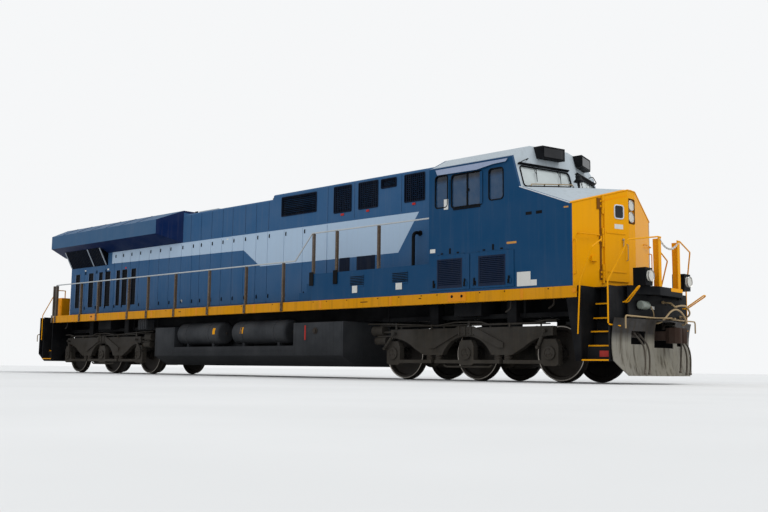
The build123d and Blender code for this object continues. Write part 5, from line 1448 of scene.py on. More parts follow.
@dataclass
class Nose(Assembly):
    """The edge line, the door's port, handle and pads, the grab bars and the lamp rims of the nose."""

    slope: float = 0.30576
    run: tuple[float, float] = (0.2924, 0.9563)
    door: str = "nose_door"
    port: tuple[float, float] = (-0.386, 3.230)

    def facet(self, y: float, height: float, proud: float = 0.0) -> Point:
        """A point on the right front facet, or out from it.

        Args:
            y: The sideways place.
            height: The height above the rail.
            proud: The distance out from the facet.

        Returns:
            The point.
        """
        return (9.680 + (1.530 + y) * self.slope + self.run[1] * proud, y - self.run[0] * proud, height)

    def _panel(
        self, low_y: float, high_y: float, foot: float, head: float, proud: float, thick: float
    ) -> Piece:
        """A plate that lies on the facet.

        Args:
            low_y: Its outer edge.
            high_y: Its inner edge.
            foot: Its lower edge.
            head: Its upper edge.
            proud: The distance of its back from the facet.
            thick: Its thickness.

        Returns:
            The plate.
        """
        corners = [
            self.facet(y, z, proud) for y, z in ((low_y, foot), (high_y, foot), (high_y, head), (low_y, head))
        ]
        return Bench.sheet(corners, (self.run[1] * thick, -self.run[0] * thick, 0.0), 0.001)

    def build(self) -> None:
        """Builds every fitting of the nose."""
        shoulder, corner = Vector((8.556, 1.531, 3.742)), Vector((9.680, 1.531, 3.300))
        tip = Vector((10.106, 0.140, 3.690))
        mirror = Matrix.Scale(-1.0, 3, RIGHT)
        front = [mirror @ corner, mirror @ tip, tip, corner]
        self.put("nose_front_bead", Bench.tube(front, 0.013, 0.03), Paint.YELLOW)
        self.pair(
            "nose_side_beads", Bench.tube([mirror @ shoulder, mirror @ corner], 0.011, 0.03), Paint.BEAD
        )
        self._door_fittings()
        self._hinges()
        ribs = [self._panel(-0.700, -0.230, z, z + 0.022, 0.029, 0.010) for z in (2.06, 2.80)]
        self.put("door_ribs", ribs, Paint.YELLOW, self.door)
        self._lamp_rims()
        across = ((-1.36, 0.0), (-1.355, 0.065), (-0.885, 0.065), (-0.88, 0.0))
        upwards = ((1.98, 0.0), (1.985, 0.060), (2.615, 0.060), (2.62, 0.0))
        bars = [
            Bench.tube([self.facet(y, 2.74, lift) for y, lift in across], 0.011),
            Bench.tube([self.facet(-1.44, z, lift) for z, lift in upwards], 0.011),
        ]
        self.pair("nose_bars", bars, Paint.YELLOW)
        self.put("nose_box", self._panel(-1.060, -0.940, 2.240, 2.340, -0.002, 0.045), Paint.YELLOW)

    def _door_fittings(self) -> None:
        """The port's frame and glass, the blank plate and the handle."""
        span = 0.115 * self.run[1]
        middle, rise = self.port
        outer, inner, foot, head = middle - span, middle + span, rise - 0.130, rise + 0.130
        frame = [
            self.facet(y, z, 0.030) for y, z in ((outer, foot), (inner, foot), (inner, head), (outer, head))
        ]
        self.put("port_frame", Bench.tube(frame, 0.013, 0.05, 3, True), Paint.BEAD, self.door)
        self.put("port_glass", self._panel(outer, inner, foot, head, 0.024, 0.003), Paint.SIGN, self.door)
        self.put("door_plate", self._panel(-0.500, -0.290, 2.900, 2.990, 0.029, 0.003), Paint.PALE, self.door)
        grip = ((2.30, 0.024), (2.31, 0.075), (2.61, 0.075), (2.62, 0.024))
        parts = [
            Bench.tube([self.facet(-0.215, z, lift) for z, lift in grip], 0.009, 0.03),
            Bench.rod(self.facet(-0.300, 2.70, 0.022), self.facet(-0.300, 2.70, 0.060), 0.022, 16, 0.004),
            Bench.rod(self.facet(-0.300, 2.70, 0.052), self.facet(-0.300, 2.56, 0.052), 0.009, 12, 0.002),
        ]
        self.put("door_handle", parts, Paint.TAN, self.door)

    def _hinges(self) -> None:
        """A brown strip of painted shade in the recess along the door's hinge side, and the plates and pins
        of its hinges.
        """
        # Painted shade: the brown strip stands for the shaded recess beside the hinges.
        self.put("hinge_gap_shade", self._panel(-0.840, -0.797, 1.900, 3.360, -0.001, 0.009), Paint.BROWN)
        plates, pins = [], []
        for outer, foot, head in ((-0.900, 3.245, 3.455), (-0.852, 2.590, 2.765), (-0.852, 1.905, 2.100)):
            plates.append(self._panel(outer, -0.803, foot, head, 0.000, 0.016))
            for z in (foot + 0.035, head - 0.075):
                low, high = self.facet(-0.818, z, 0.018), self.facet(-0.818, z + 0.040, 0.018)
                pins.append(Bench.rod(low, high, 0.015, 16, 0.003))
        self.put("nose_hinge_plates", plates, Paint.BROWN)
        self.put("nose_hinge_pins", pins, Paint.YELLOW)

    def _lamp_rims(self) -> None:
        """The bright rims round the headlights and the dark edge of their recess."""
        profile = ((0.086, 0.0), (0.104, 0.0), (0.108, 0.010), (0.102, 0.016), (0.090, 0.010), (0.086, 0.0))
        rims = [Bench.lathe(profile, (10.094, 0.0, height), AHEAD, 40) for height in (3.170, 3.400)]
        self.put("headlight_rims", rims, Paint.STEEL)
        corners = [
            (10.106, y, z) for y, z in ((-0.118, 3.047), (0.118, 3.047), (0.118, 3.523), (-0.118, 3.523))
        ]
        self.put("headlight_recess_edge", Bench.tube(corners, 0.009, 0.03, 2, True), Paint.GASKET)


@dataclass
class Hood(Assembly):
    """Latches, hinges, vent bars, slot frames, pipes and blank labels of the long hood."""

    face: float = 0.964
    seams: tuple[float, ...] = (
        -8.640, -7.972, -7.430, -6.894, -6.470, -6.008, -5.537, -5.000, -4.500, -3.983, -3.400,
        -2.898, -2.530, -2.030, -1.560, -1.090, -0.600, -0.100, 0.360, 1.000, 1.700,
    )
    upper_seams: tuple[float, ...] = (
        -2.994, -2.512, -2.029, -1.538, -1.109, -0.573, -0.127, 0.375, 2.568, 3.470, 4.959,
    )
    screens_end: float = -7.300
    bar_vents: tuple[Rect, ...] = (
        (2.790, 3.370, 3.884, 4.510), (3.620, 4.230, 3.893, 4.510), (5.060, 5.645, 3.896, 4.510),
    )
    bars: int = 9
    mesh_vents: tuple[Rect, ...] = ((0.885, 2.165, 4.000, 4.480), (4.340, 4.800, 4.300, 4.500))
    mesh: float = 0.04
    # dark patches of painted shade low on the hood side
    low_shade_patches: tuple[Rect, ...] = ((3.000, 3.345, 2.390, 2.785), (3.575, 4.160, 2.390, 2.785))
    red_labels: tuple[Rect, ...] = (
        (3.030, 3.130, 3.800, 3.850), (3.870, 3.960, 3.805, 3.855),
        (5.290, 5.380, 3.810, 3.860), (-6.290, -6.200, 3.130, 3.170),
    )
    pale_labels: tuple[Rect, ...] = (
        (-8.640, -8.560, 3.180, 3.220), (-7.290, -7.200, 3.140, 3.190),
        (-3.360, -3.280, 1.990, 2.060), (-1.340, -1.260, 3.590, 3.620),
    )
    cabinet_labels: tuple[Rect, ...] = ((4.025, 4.185, 1.875, 2.035), (5.343, 5.525, 1.888, 2.030))
    pipe_x: float = 5.525

    def build(self) -> None:
        """Builds every fitting of the hood."""
        self._latches()
        self._hinges()
        seams = [(x - 0.007, x + 0.007, 3.700, 4.440 if x < 0.550 else 4.550) for x in self.upper_seams]
        self.pair("upper_seams", Bench.plates(seams, -0.956, -0.948, 0.002, 1), Paint.WING)
        self._vents()
        self._slots()
        for name, rects, paint in (
            ("red", self.red_labels, Paint.RED), ("pale", self.pale_labels, Paint.PALE)
        ):
            labels = Bench.plates(rects, -self.face - 0.002, -self.face + 0.015, 0.001, 1)
            self.put(f"{name}_hood_labels", labels, paint)
        self.put("cabinet_labels", Bench.plates(self.cabinet_labels, -1.541, -1.536, 0.001, 1), Paint.PALE)
        self._pipe()
        self._screens()

    def _rows(self, low: float, high: float) -> list[Matrix]:
        """The places of a low and a high fitting at each seam.

        Args:
            low: The height of the low fitting.
            high: The height of the high one.

        Returns:
            A move for each fitting.
        """
        return [
            shift(x, -self.face, z) for x in self.seams for z in (low, high if x > self.screens_end else 3.12)
        ]

    def _latches(self) -> None:
        """A dark latch with its lever beside each seam, low and high."""
        parts = [
            Bench.block((-0.017, -0.010, -0.050), (0.017, 0.002, 0.050), 0.004, 1),
            Bench.rod((0.0, -0.016, 0.030), (0.0, -0.016, -0.045), 0.008, 8),
        ]
        places = [shift(0.075) @ place for place in self._rows(2.005, 3.540)]
        self.pair("door_latches", Bench.copies(Bench.join(parts), places), Paint.GASKET)

    def _hinges(self) -> None:
        """The barrels of the door hinges, in the hood's paint."""
        barrel = Bench.rod((0.0, -0.004, -0.050), (0.0, -0.004, 0.050), 0.011, 8)
        places = self._rows(2.250, 3.300) + [shift(x, -self.face, 2.780) for x in self.seams]
        self.pair("door_hinges", Bench.copies(barrel, places), Paint.NAVY)

    def _vents(self) -> None:
        """The frame of each roof-side vent, upright bars in three and wire mesh in two."""
        y, pitch = -0.958, self.mesh
        frames = [
            Bench.tube(upright(vent, y), 0.014, 0.02, 2, True) for vent in self.bar_vents + self.mesh_vents
        ]
        bars, wires = [], []
        for rear, front, foot, head in self.bar_vents:
            step = (front - rear) / (self.bars + 1)
            bar = Bench.block((-0.012, -0.006, 0.0), (0.012, 0.002, head - foot), 0.002, 1)
            bars.append(Bench.copies(bar, [shift(rear + step * (n + 1), y, foot) for n in range(self.bars)]))
        for rear, front, foot, head in self.mesh_vents:
            wire = Bench.rod((0.0, 0.0, 0.0), (0.0, 0.0, head - foot), 0.003, 6)
            level = Bench.rod((0.0, 0.0, 0.0), (front - rear, 0.0, 0.0), 0.003, 6)
            across, up = int((front - rear) / pitch), int((head - foot) / pitch)
            wires.append(Bench.copies(wire, [shift(rear + pitch * n, y, foot) for n in range(1, across)]))
            wires.append(
                Bench.copies(level, [shift(rear, y - 0.004, foot + pitch * n) for n in range(1, up)])
            )
        for name, parts in (("vent_frames", frames), ("vent_bars", bars), ("vent_mesh", wires)):
            self.pair(name, parts, Paint.VENT_BAR)

    def _slots(self) -> None:
        """The upright edges of the tall intake slots, in a paler blue as a painted highlight, and dark
        patches of painted shade low on the hood side.
        """
        middles = [x for rear, front in INTAKE_SLOTS for x in (rear - 0.014, front + 0.014)]
        edges = [(x - 0.010, x + 0.010, 2.010, 3.110) for x in middles]
        # Painted highlight: the slot edges are a paler blue than the door paint.
        self.pair(
            "slot_edges", Bench.plates(edges, -self.face - 0.008, -self.face + 0.002, 0.002, 1),
            Paint.SLOT_EDGE
        )
        # Painted shade: dark patches low on the hood side.
        self.put("low_hood_shade_patches", Bench.plates(self.low_shade_patches, -0.957, -0.948), Paint.VENT_BAR)

    def _pipe(self) -> None:
        """The dark pipe that leaves the hood behind the cab and goes down into the low cabinet."""
        x, y, z = self.pipe_x, -1.180, 3.160
        parts = [
            Bench.tube([(x, -0.930, z), (x, y, z), (x, y, 2.370)], 0.038, 0.14, 4),
            Bench.rod((x, y, 2.379), (x, y, 2.400), 0.062, 24, 0.005),
            Bench.rod((x, -0.948, z), (x, -0.970, z), 0.062, 24, 0.005),
        ]
        self.put("hood_pipe", parts, Paint.GASKET)

    def _screens(self) -> None:
        """The dividers and the ribs of the slanted intake screens under the wings."""
        low, high = Vector((0.0, -0.975, 3.310)), Vector((0.0, -1.250, 3.828))
        rise = (high - low).normalized()
        out = Vector((0.0, -rise.z, rise.y))
        inset = rise * 0.01

        def strip(x: float, half: float, proud: float) -> Piece:
            """A slanted strip at one place along the screen.

            Args:
                x: The place along the screen.
                half: Half the strip's width.
                proud: Its thickness.

            Returns:
                The strip.
            """
            foot, head, side = low + inset + AHEAD * x, high - inset + AHEAD * x, AHEAD * half
            return Bench.sheet([foot - side, foot + side, head + side, head - side], out * proud, 0.001)

        dividers = [strip(x, 0.022, 0.020) for x in (-9.41, -8.050, -7.330)]
        self.pair("screen_dividers", dividers, Paint.EDGE_GREY)
        self.pair("screen_ribs", [strip(-9.360 + 0.09 * n, 0.008, 0.010) for n in range(23)], Paint.VENT_BAR)


@dataclass
class Roof(Assembly):
    """The radiator screens, hatch handles, bolts and ribs of the roofs."""

    flat: float = 4.600
    panels: tuple[float, ...] = (-9.000, -7.880, -6.760, -5.640, -4.520)
    panel_half: float = 0.500
    panel_reach: float = 0.860
    hatches: Pairs = ((-1.620, -0.780), (-0.670, 0.170))
    stack_x: float = -2.300

    def build(self) -> None:
        """Builds every fitting of the roofs."""
        self._radiator_screens()
        self._wing_ribs()
        self._hatch_fittings()
        plate = Bench.block((-2.740, -0.880, 4.486), (-1.860, -0.420, 4.520), 0.006)
        self.pair("walk_plates", plate, Paint.ROOF)
        x = self.stack_x
        places = [(x + along, y, 4.519) for along in (-0.38, 0.0, 0.38) for y in (-0.830, -0.470)]
        self.pair("walk_plate_bolts", Bench.bolts(places, UP), Paint.BLACK)
        places = [(x + along, y, 4.489) for along in (-0.49, -0.25, 0.0, 0.25, 0.49) for y in (-0.30, 0.30)]
        self.put("stack_bolts", Bench.bolts(places, UP), Paint.BLACK)

    def _radiator_screens(self) -> None:
        """The framed screens over the radiators on the flat roof."""
        frames = []
        half, reach, top = self.panel_half, self.panel_reach, self.flat
        for x in self.panels:
            corners = [
                (x - half, -reach, top), (x + half, -reach, top), (x + half, reach, top),
                (x - half, reach, top)
            ]
            frames.append(Bench.tube(corners, 0.020, 0.03, 2, True))
            frames.append(
                Bench.block((x - half, -0.012, top - 0.002), (x + half, 0.012, top + 0.018), 0.003, 1)
            )
        self.put("radiator_frames", frames, Paint.ROOF)
        bar = Bench.block((-0.006, -reach, -0.002), (0.006, reach, 0.010), 0.0)
        bars = [shift(x - half + 0.05 * n, 0.0, top) for x in self.panels for n in range(1, 20)]
        self.put("radiator_bars", Bench.copies(bar, bars), Paint.VENT_BAR)

    def _wing_ribs(self) -> None:
        """The seams across the slanted tops of the wings."""
        (inner, high), (outer, low) = (-0.955, 4.600), (-1.474, 4.347)
        ribs = []
        for x in (-9.20, -8.35, -7.50, -6.65, -5.80, -4.95):
            rear, front = x - 0.012, x + 0.012
            corners = [(rear, inner, high), (front, inner, high), (front, outer, low), (rear, outer, low)]
            ribs.append(Bench.sheet(corners, (0.0, -0.0035, 0.0072), 0.001))
        self.pair("wing_ribs", ribs, Paint.WING)

    def _hatch_fittings(self) -> None:
        """Two lifting handles and a row of bolts on each roof hatch."""
        handles, places = [], []
        for rear, front in self.hatches:
            for x in (rear + 0.16, front - 0.16):
                grip = ((-0.08, 4.528), (-0.08, 4.575), (0.08, 4.575), (0.08, 4.528))
                handles.append(Bench.tube([(x, y, z) for y, z in grip], 0.009, 0.03))
            for x in (rear + 0.05, (rear + front) / 2, front - 0.05):
                places += [(x, y, 4.529) for y in (-0.50, 0.50)]
        self.put("hatch_handles", handles, Paint.NAVY_PLAIN)
        self.put("hatch_bolts", Bench.bolts(places, UP), Paint.BLACK)


@dataclass
class Sills(Assembly):
    """Joint plates, end caps, marks, rail posts, ducts, trays, pipes and clamps along the side sills."""

    face: float = 1.538
    jacking: tuple[float, ...] = (-6.992, 7.021)
    joints: tuple[float, ...] = (-8.20, -5.60, -3.90, -1.80, 0.60, 3.00, 5.20, 8.60)
    marks: tuple[Rect, ...] = (
        (4.290, 4.510, 1.650, 1.668), (6.000, 6.070, 1.660, 1.678), (-2.6, -2.5, 1.66, 1.678),
    )
    dots: tuple[float, ...] = (
        -7.9, -6.4, -5.2, -3.2, -1.2, 0.1, 1.3, 2.751, 3.201, 3.863, 4.818, 5.437, 6.070, 6.500, 7.600, 8.200,
        9.200,
    )
    posts: tuple[float, ...] = (-9.520, -9.330, -7.830, -6.840, -5.150, -4.160, -2.830, -1.310, 0.220, 1.640)
    channel: Pairs = (
        (-0.024, -1.536), (0.024, -1.536), (0.024, -1.466), (-0.024, -1.466),
        (-0.024, -1.472), (0.018, -1.472), (0.018, -1.530), (-0.024, -1.530),
    )
    tray: Pairs = (
        (-0.880, 1.238), (-0.660, 1.238), (-0.660, 1.330), (-0.668, 1.330),
        (-0.668, 1.246), (-0.872, 1.246), (-0.872, 1.330), (-0.880, 1.330),
    )
    pipe_y: float = 1.330
    pipe_rise: float = 1.600
    drops: Pairs = ((9.192, 1.44), (8.20, 1.40), (-8.9, 1.42))

    def build(self) -> None:
        """Builds every fitting of the sills."""
        y = -self.face
        plates = Bench.plates(
            [(x - 0.236, x + 0.236, 1.566, 1.750) for x in self.jacking], y - 0.008, y + 0.002
        )
        joints = [(x - 0.035, x + 0.035, 1.560, 1.752) for x in self.joints]
        self.pair(
            "sill_plates", plates + Bench.plates(joints, y - 0.005, y + 0.002, 0.002), Paint.ORANGE_YELLOW
        )
        places = [(x + along, y - 0.006, 1.671) for x in self.jacking for along in (-0.126, 0.126)]
        self.pair("sill_bolts", Bench.bolts(places, RIGHT, 0.022, 0.014), Paint.BLACK)
        profile = ((0.0, 0.0), (0.046, 0.0), (0.046, 0.012), (0.040, 0.018), (0.0, 0.018))
        self.pair(
            "sill_caps", Bench.lathe(profile, (9.760, y + 0.001, 1.665), RIGHT, 28), Paint.ORANGE_YELLOW
        )
        self.pair("sill_marks", Bench.plates(self.marks, y - 0.002, y + 0.001, 0.0008, 1), Paint.GASKET)
        dots = [(x, y - 0.001, 1.722) for x in self.dots]
        self.pair("sill_dots", Bench.bolts(dots, RIGHT, 0.010, 0.006), Paint.GASKET)
        self._posts()
        self._ducts()
        self._trays()
        self._middle()
        self._pipes()

    def _clad(self, x: float, foot: float, head: float) -> Piece:
        """The upright channel round one post, open to the rear."""
        return Bench.sheet([(x + along, y, foot) for along, y in self.channel], UP * (head - foot), 0.0015)

    def _posts(self) -> None:
        """The channel that clads each handrail post, with its bolted foot on the sill."""
        low = []
        for x in self.posts:
            low += [
                self._clad(x, 1.757, 2.712),
                Bench.block((x - 0.040, -1.566, 1.545), (x + 0.040, -1.537, 1.775), 0.005)
            ]
        self.pair("rail_posts", low, Paint.POST)
        places = [(x, -1.565, z) for x in self.posts for z in (1.590, 1.700)]
        self.pair("rail_post_bolts", Bench.bolts(places, RIGHT, 0.011, 0.008), Paint.IRON)
        self.put("upper_rail_posts", [self._clad(x, 2.383, 3.330) for x in (2.700, 3.480, 4.800)], Paint.POST)
        feet = Bench.plates(
            [(x - 0.070, x + 0.070, 2.105, 2.425) for x in (2.680, 3.480)], -1.558, -1.537, 0.012, 3
        )
        self.put("upper_post_feet", feet, Paint.GASKET)

    def _ducts(self) -> None:
        """The ribbed air ducts that drop from the deck towards the traction motors."""
        parts = []
        for x in (centre + along for centre in (-6.992, 6.992) for along in (-1.75, -1.0, 1.0, 1.75)):
            parts.append(Bench.block((x - 0.26, -0.34, 1.235), (x + 0.26, 0.34, 1.620), 0.03, 3))
            for z in (1.290, 1.370, 1.450):
                parts.append(Bench.block((x - 0.275, -0.355, z), (x + 0.275, 0.355, z + 0.030), 0.012))
        self.put("motor_air_ducts", parts, Paint.BLACK)

    def _trays(self) -> None:
        """The trays over the trucks, on their hangers, with four cables in each."""
        trays, cables = [], []
        for low, high in ((-9.650, -4.350), (4.350, 9.650)):
            trays.append(Bench.sheet([(low, y, z) for y, z in self.tray], AHEAD * (high - low)))
            for number, y in enumerate((-0.840, -0.790, -0.740, -0.695)):
                z = 1.268 + 0.010 * (number % 2)
                route = ((low - 0.05, y, z), ((low + high) / 2, y, z + 0.012), (high + 0.05, y, z))
                cables.append(Bench.tube(route, 0.021, 0.3))
            for x in (low + 0.20 + step * (high - low - 0.40) / 4 for step in range(5)):
                trays.append(Bench.block((x - 0.020, -0.892, 1.240), (x + 0.020, -0.878, 1.725), 0.004))
                trays.append(Bench.block((x - 0.020, -0.892, 1.330), (x + 0.020, -0.648, 1.342), 0.004))
        self.pair("cable_trays", trays, Paint.BLACK)
        self.pair("tray_cables", cables, Paint.GASKET)

    def _middle(self) -> None:
        """The air lines along the middle, on their hangers, and the ribbed box behind the tank."""
        lines = []
        for hand, _ in HANDS:
            for y, z, radius in ((0.00, 1.146, 0.024), (0.05, 1.192, 0.024), (0.00, 1.238, 0.026)):
                lines.append(Bench.tube([(hand * 3.780, y, z), (hand * 6.080, y, z)], radius, 0.05))
            for x in (hand * 4.000, hand * 4.700, hand * 5.900):
                lines.append(Bench.block((x - 0.020, -0.034, 1.116), (x + 0.020, 0.084, 1.620), 0.006))
        self.put("middle_air_lines", lines, Paint.BLACK)
        ribs = [(x, x + 0.026, 1.246, 1.500) for x in (-4.740 + 0.095 * rib for rib in range(5))]
        box = [Bench.block((-4.760, -1.400, 1.238), (-4.320, -1.150, 1.530), 0.015, 3)]
        self.put("ribbed_box", box + Bench.plates(ribs, -1.416, -1.396, 0.005), Paint.TANK)

    def _pipes(self) -> None:
        """The air and cable pipes that hang under the deck on their clamps."""
        runs, clamps = [], []
        y, z, count = -self.pipe_y, self.pipe_rise, 7
        for low, high in ((-9.250, -3.900), (3.900, 9.300)):
            runs.append(Bench.tube([(low, y, z), (high, y, z)], 0.021, 0.05))
            runs.append(Bench.tube([(low, y + 0.07, z + 0.02), (high, y + 0.07, z + 0.02)], 0.014, 0.05))
            for x in (low + 0.25 + n * (high - low - 0.5) / (count - 1) for n in range(count)):
                clamps.append(
                    Bench.block((x - 0.02, y - 0.035, z - 0.035), (x + 0.02, y + 0.095, z + 0.045), 0.006)
                )
                clamps.append(
                    Bench.block((x - 0.012, y - 0.01, z + 0.04), (x + 0.012, y + 0.01, 1.731), 0.002)
                )
        for x, foot in self.drops:
            runs.append(Bench.tube([(x, y, z), (x, y, foot), (x - 0.12, y, foot - 0.07)], 0.018, 0.05))
        self.pair("deck_pipes", runs, Paint.TRUCK)
        self.pair("pipe_clamps", clamps, Paint.TRUCK)


@dataclass
class Steps(Assembly):
    """The tread edges and the small plates of the four step wells."""

    treads: Pairs = ((1.530, 0.410), (1.300, 0.670), (1.200, 0.930), (1.110, 1.180), (1.020, 1.450))
    wells: Pairs = ((9.892, 10.438), (-10.038, -9.482))

    def build(self) -> None:
        """Builds every tread edge and plate."""
        edges, grips = [], []
        for low, high in self.wells:
            for edge, top in self.treads:
                edges.append(
                    Bench.block((low, -edge - 0.004, top - 0.024), (high, -edge + 0.022, top + 0.004), 0.004)
                )
                for y in (-edge + 0.05 + 0.04 * n for n in range(4)):
                    ends = (low + 0.03, y - 0.006, top - 0.002), (high - 0.03, y + 0.006, top + 0.005)
                    grips.append(Bench.block(*ends, 0.002, 1))
        self.pair("tread_edges", edges, Paint.YELLOW)
        self.pair("tread_grips", grips, Paint.BLACK)
        self.put(
            "red_step_plate", Bench.block((10.135, -1.319, 0.460), (10.425, -1.314, 0.570), 0.001), Paint.RED
        )
        self.put(
            "pale_step_plate", Bench.block((10.330, -1.319, 0.590), (10.380, -1.314, 0.620), 0.001),
            Paint.PALE
        )


@dataclass
class Truck(Assembly):
    """Spring coils, journal caps, the middle bracket, dampers and pipes of one truck."""

    end: str = "front"
    centre: float = 6.992
    spacing: float = 2.007
    face: float = 1.200
    cap_face: float = 1.231
    axle_rise: float = 0.533
    spring_y: float = 1.130
    damper_y: float = 1.270
    main_pipe: Pairs = (
        (-2.75, 1.185), (-2.20, 1.178), (-0.73, 1.108), (-0.29, 1.168), (0.40, 1.163),
        (0.56, 1.103), (1.67, 1.108), (1.90, 1.158), (2.18, 1.153),
    )
    thin_pipe: Pairs = ((-2.45, 1.150), (-1.0, 1.100), (1.20, 1.100), (2.0, 1.095))
    clamps: Pairs = ((-1.9, 1.164), (-0.9, 1.117), (0.1, 1.166), (1.1, 1.106))

    def build(self) -> None:
        """Builds both sides of the truck's fittings."""
        self._coils()
        self._caps()
        self._bracket()
        self._dampers()
        self._pipes()

    def _x(self, along: float) -> float:
        """A place along the locomotive from a place towards this truck's own end."""
        return self.centre + math.copysign(1.0, self.centre) * along

    def _add(self, name: str, parts: Piece | Sequence[Piece], paint: Paint) -> None:
        """Adds right-side parts and their mirror image under this truck's name."""
        self.pair(f"{name}_{self.end}", parts, paint)

    def _coils(self) -> None:
        """The outer coil of each spring."""
        places = [shift(self._x(along), -self.spring_y, 0.400) for along in (-1.0, -0.76, 0.76, 1.0)]
        self._add("spring_coils", Bench.copies(Bench.coil(0.070, 0.015, 0.100, 2.5), places), Paint.IRON)

    def _caps(self) -> None:
        """The ring, the bolts and the middle plug of each journal cap."""
        ring = ((0.096, 0.0), (0.128, 0.0), (0.128, 0.006), (0.120, 0.010), (0.096, 0.010), (0.096, 0.0))
        plug = ((0.0, 0.0), (0.034, 0.0), (0.034, 0.008), (0.026, 0.014), (0.0, 0.014))
        rings, places = [], []
        for x in (self._x(-self.spacing), self._x(0.0), self._x(self.spacing)):
            middle = (x, -self.cap_face, self.axle_rise)
            rings += [Bench.lathe(ring, middle), Bench.lathe(plug, middle, RIGHT, 20)]
            for turn in (math.radians(90 + 120 * n) for n in range(3)):
                along, up = 0.070 * math.cos(turn), 0.070 * math.sin(turn)
                places.append((x + along, -self.cap_face, self.axle_rise + up))
        self._add("cap_rings", rings, Paint.TRUCK)
        self._add("cap_bolts", Bench.bolts(places, RIGHT, 0.014, 0.014), Paint.IRON)

    def _bracket(self) -> None:
        """The bolted bracket over the middle axle, its bars and the tie bar below."""
        x, y = self._x(0.0), -self.face
        parts = [Bench.block((x - 0.20, y - 0.030, 0.890), (x + 0.20, y + 0.005, 1.050), 0.012, 3)]
        bars = [
            (self._x(along) - 0.018, self._x(along) + 0.018, 0.900, 1.085) for along in (-0.15, 0.0, 0.15)
        ]
        parts += Bench.plates(bars, y - 0.055, y - 0.020, 0.006)
        self._add("middle_bracket", parts, Paint.TRUCK)
        places = [(self._x(along), y - 0.029, z) for along in (-0.08, 0.08) for z in (0.930, 1.010)]
        self._add("bracket_bolts", Bench.bolts(places, RIGHT, 0.014, 0.014), Paint.IRON)
        tie = ((-0.62, 0.300), (-0.56, 0.262), (0.56, 0.262), (0.62, 0.300))
        self._add(
            "tie_bar", Bench.tube([(self._x(along), -1.150, z) for along, z in tie], 0.020, 0.05), Paint.TRUCK
        )

    def _dampers(self) -> None:
        """The slanted dampers between the frame and the outer journal boxes, with their pins."""
        parts = []
        for top_along, foot_along in ((1.930, 1.780), (-1.930, -2.200)):
            head = Vector((self._x(top_along), -self.damper_y, 0.960))
            foot = Vector((self._x(foot_along), -self.damper_y, 0.640))
            long = (foot - head).length
            profile = (
                (0.0, 0.0), (0.014, 0.0), (0.014, 0.12), (0.030, 0.125), (0.034, 0.13), (0.034, long - 0.05),
                (0.028, long - 0.04), (0.016, long - 0.035), (0.016, long), (0.0, long),
            )
            parts.append(Bench.lathe(profile, head, foot - head, 24))
            for spot in (head, foot):
                parts.append(Bench.rod(spot + RIGHT * 0.035, spot - RIGHT * 0.045, 0.034, 20, 0.005))
                parts.append(Bench.rod(spot + RIGHT * 0.045, spot - RIGHT * 0.080, 0.015, 12, 0.002))
        self._add("dampers", parts, Paint.TRUCK)

    def _pipes(self) -> None:
        """The brake pipes along the top of the frame, with their clamps."""
        parts = [
            Bench.tube([(self._x(along), -1.215, z) for along, z in self.main_pipe], 0.016, 0.08),
            Bench.tube([(self._x(along), -1.158, z) for along, z in self.thin_pipe], 0.012, 0.08),
        ]
        clamps = [
            (self._x(along) - 0.018, self._x(along) + 0.018, 1.040, z + 0.022) for along, z in self.clamps
        ]
        self._add("brake_pipes", parts + Bench.plates(clamps, -1.236, -1.192, 0.005), Paint.TRUCK)


@dataclass
class Wheels(Assembly):
    """The bright worn rim on the outer face of each wheel."""

    radius: float = 0.533
    face: float = 0.817
    axles: tuple[float, ...] = (8.999, 6.992, 4.985, -4.985, -6.992, -8.999)
    rim: Pairs = (
        (0.508, -0.004), (0.508, 0.001), (0.514, 0.004), (0.527, 0.002), (0.5285, -0.004), (0.508, -0.004)
    )

    def build(self) -> None:
        """Builds a rim for both wheels of each axle."""
        for number, x in enumerate(self.axles, start=1):
            rim = Bench.lathe(self.rim, (x, -self.face, self.radius), RIGHT, 72)
            self.pair(f"wheel_rims_{number}", rim, Paint.RIM, f"wheelset_{number}")


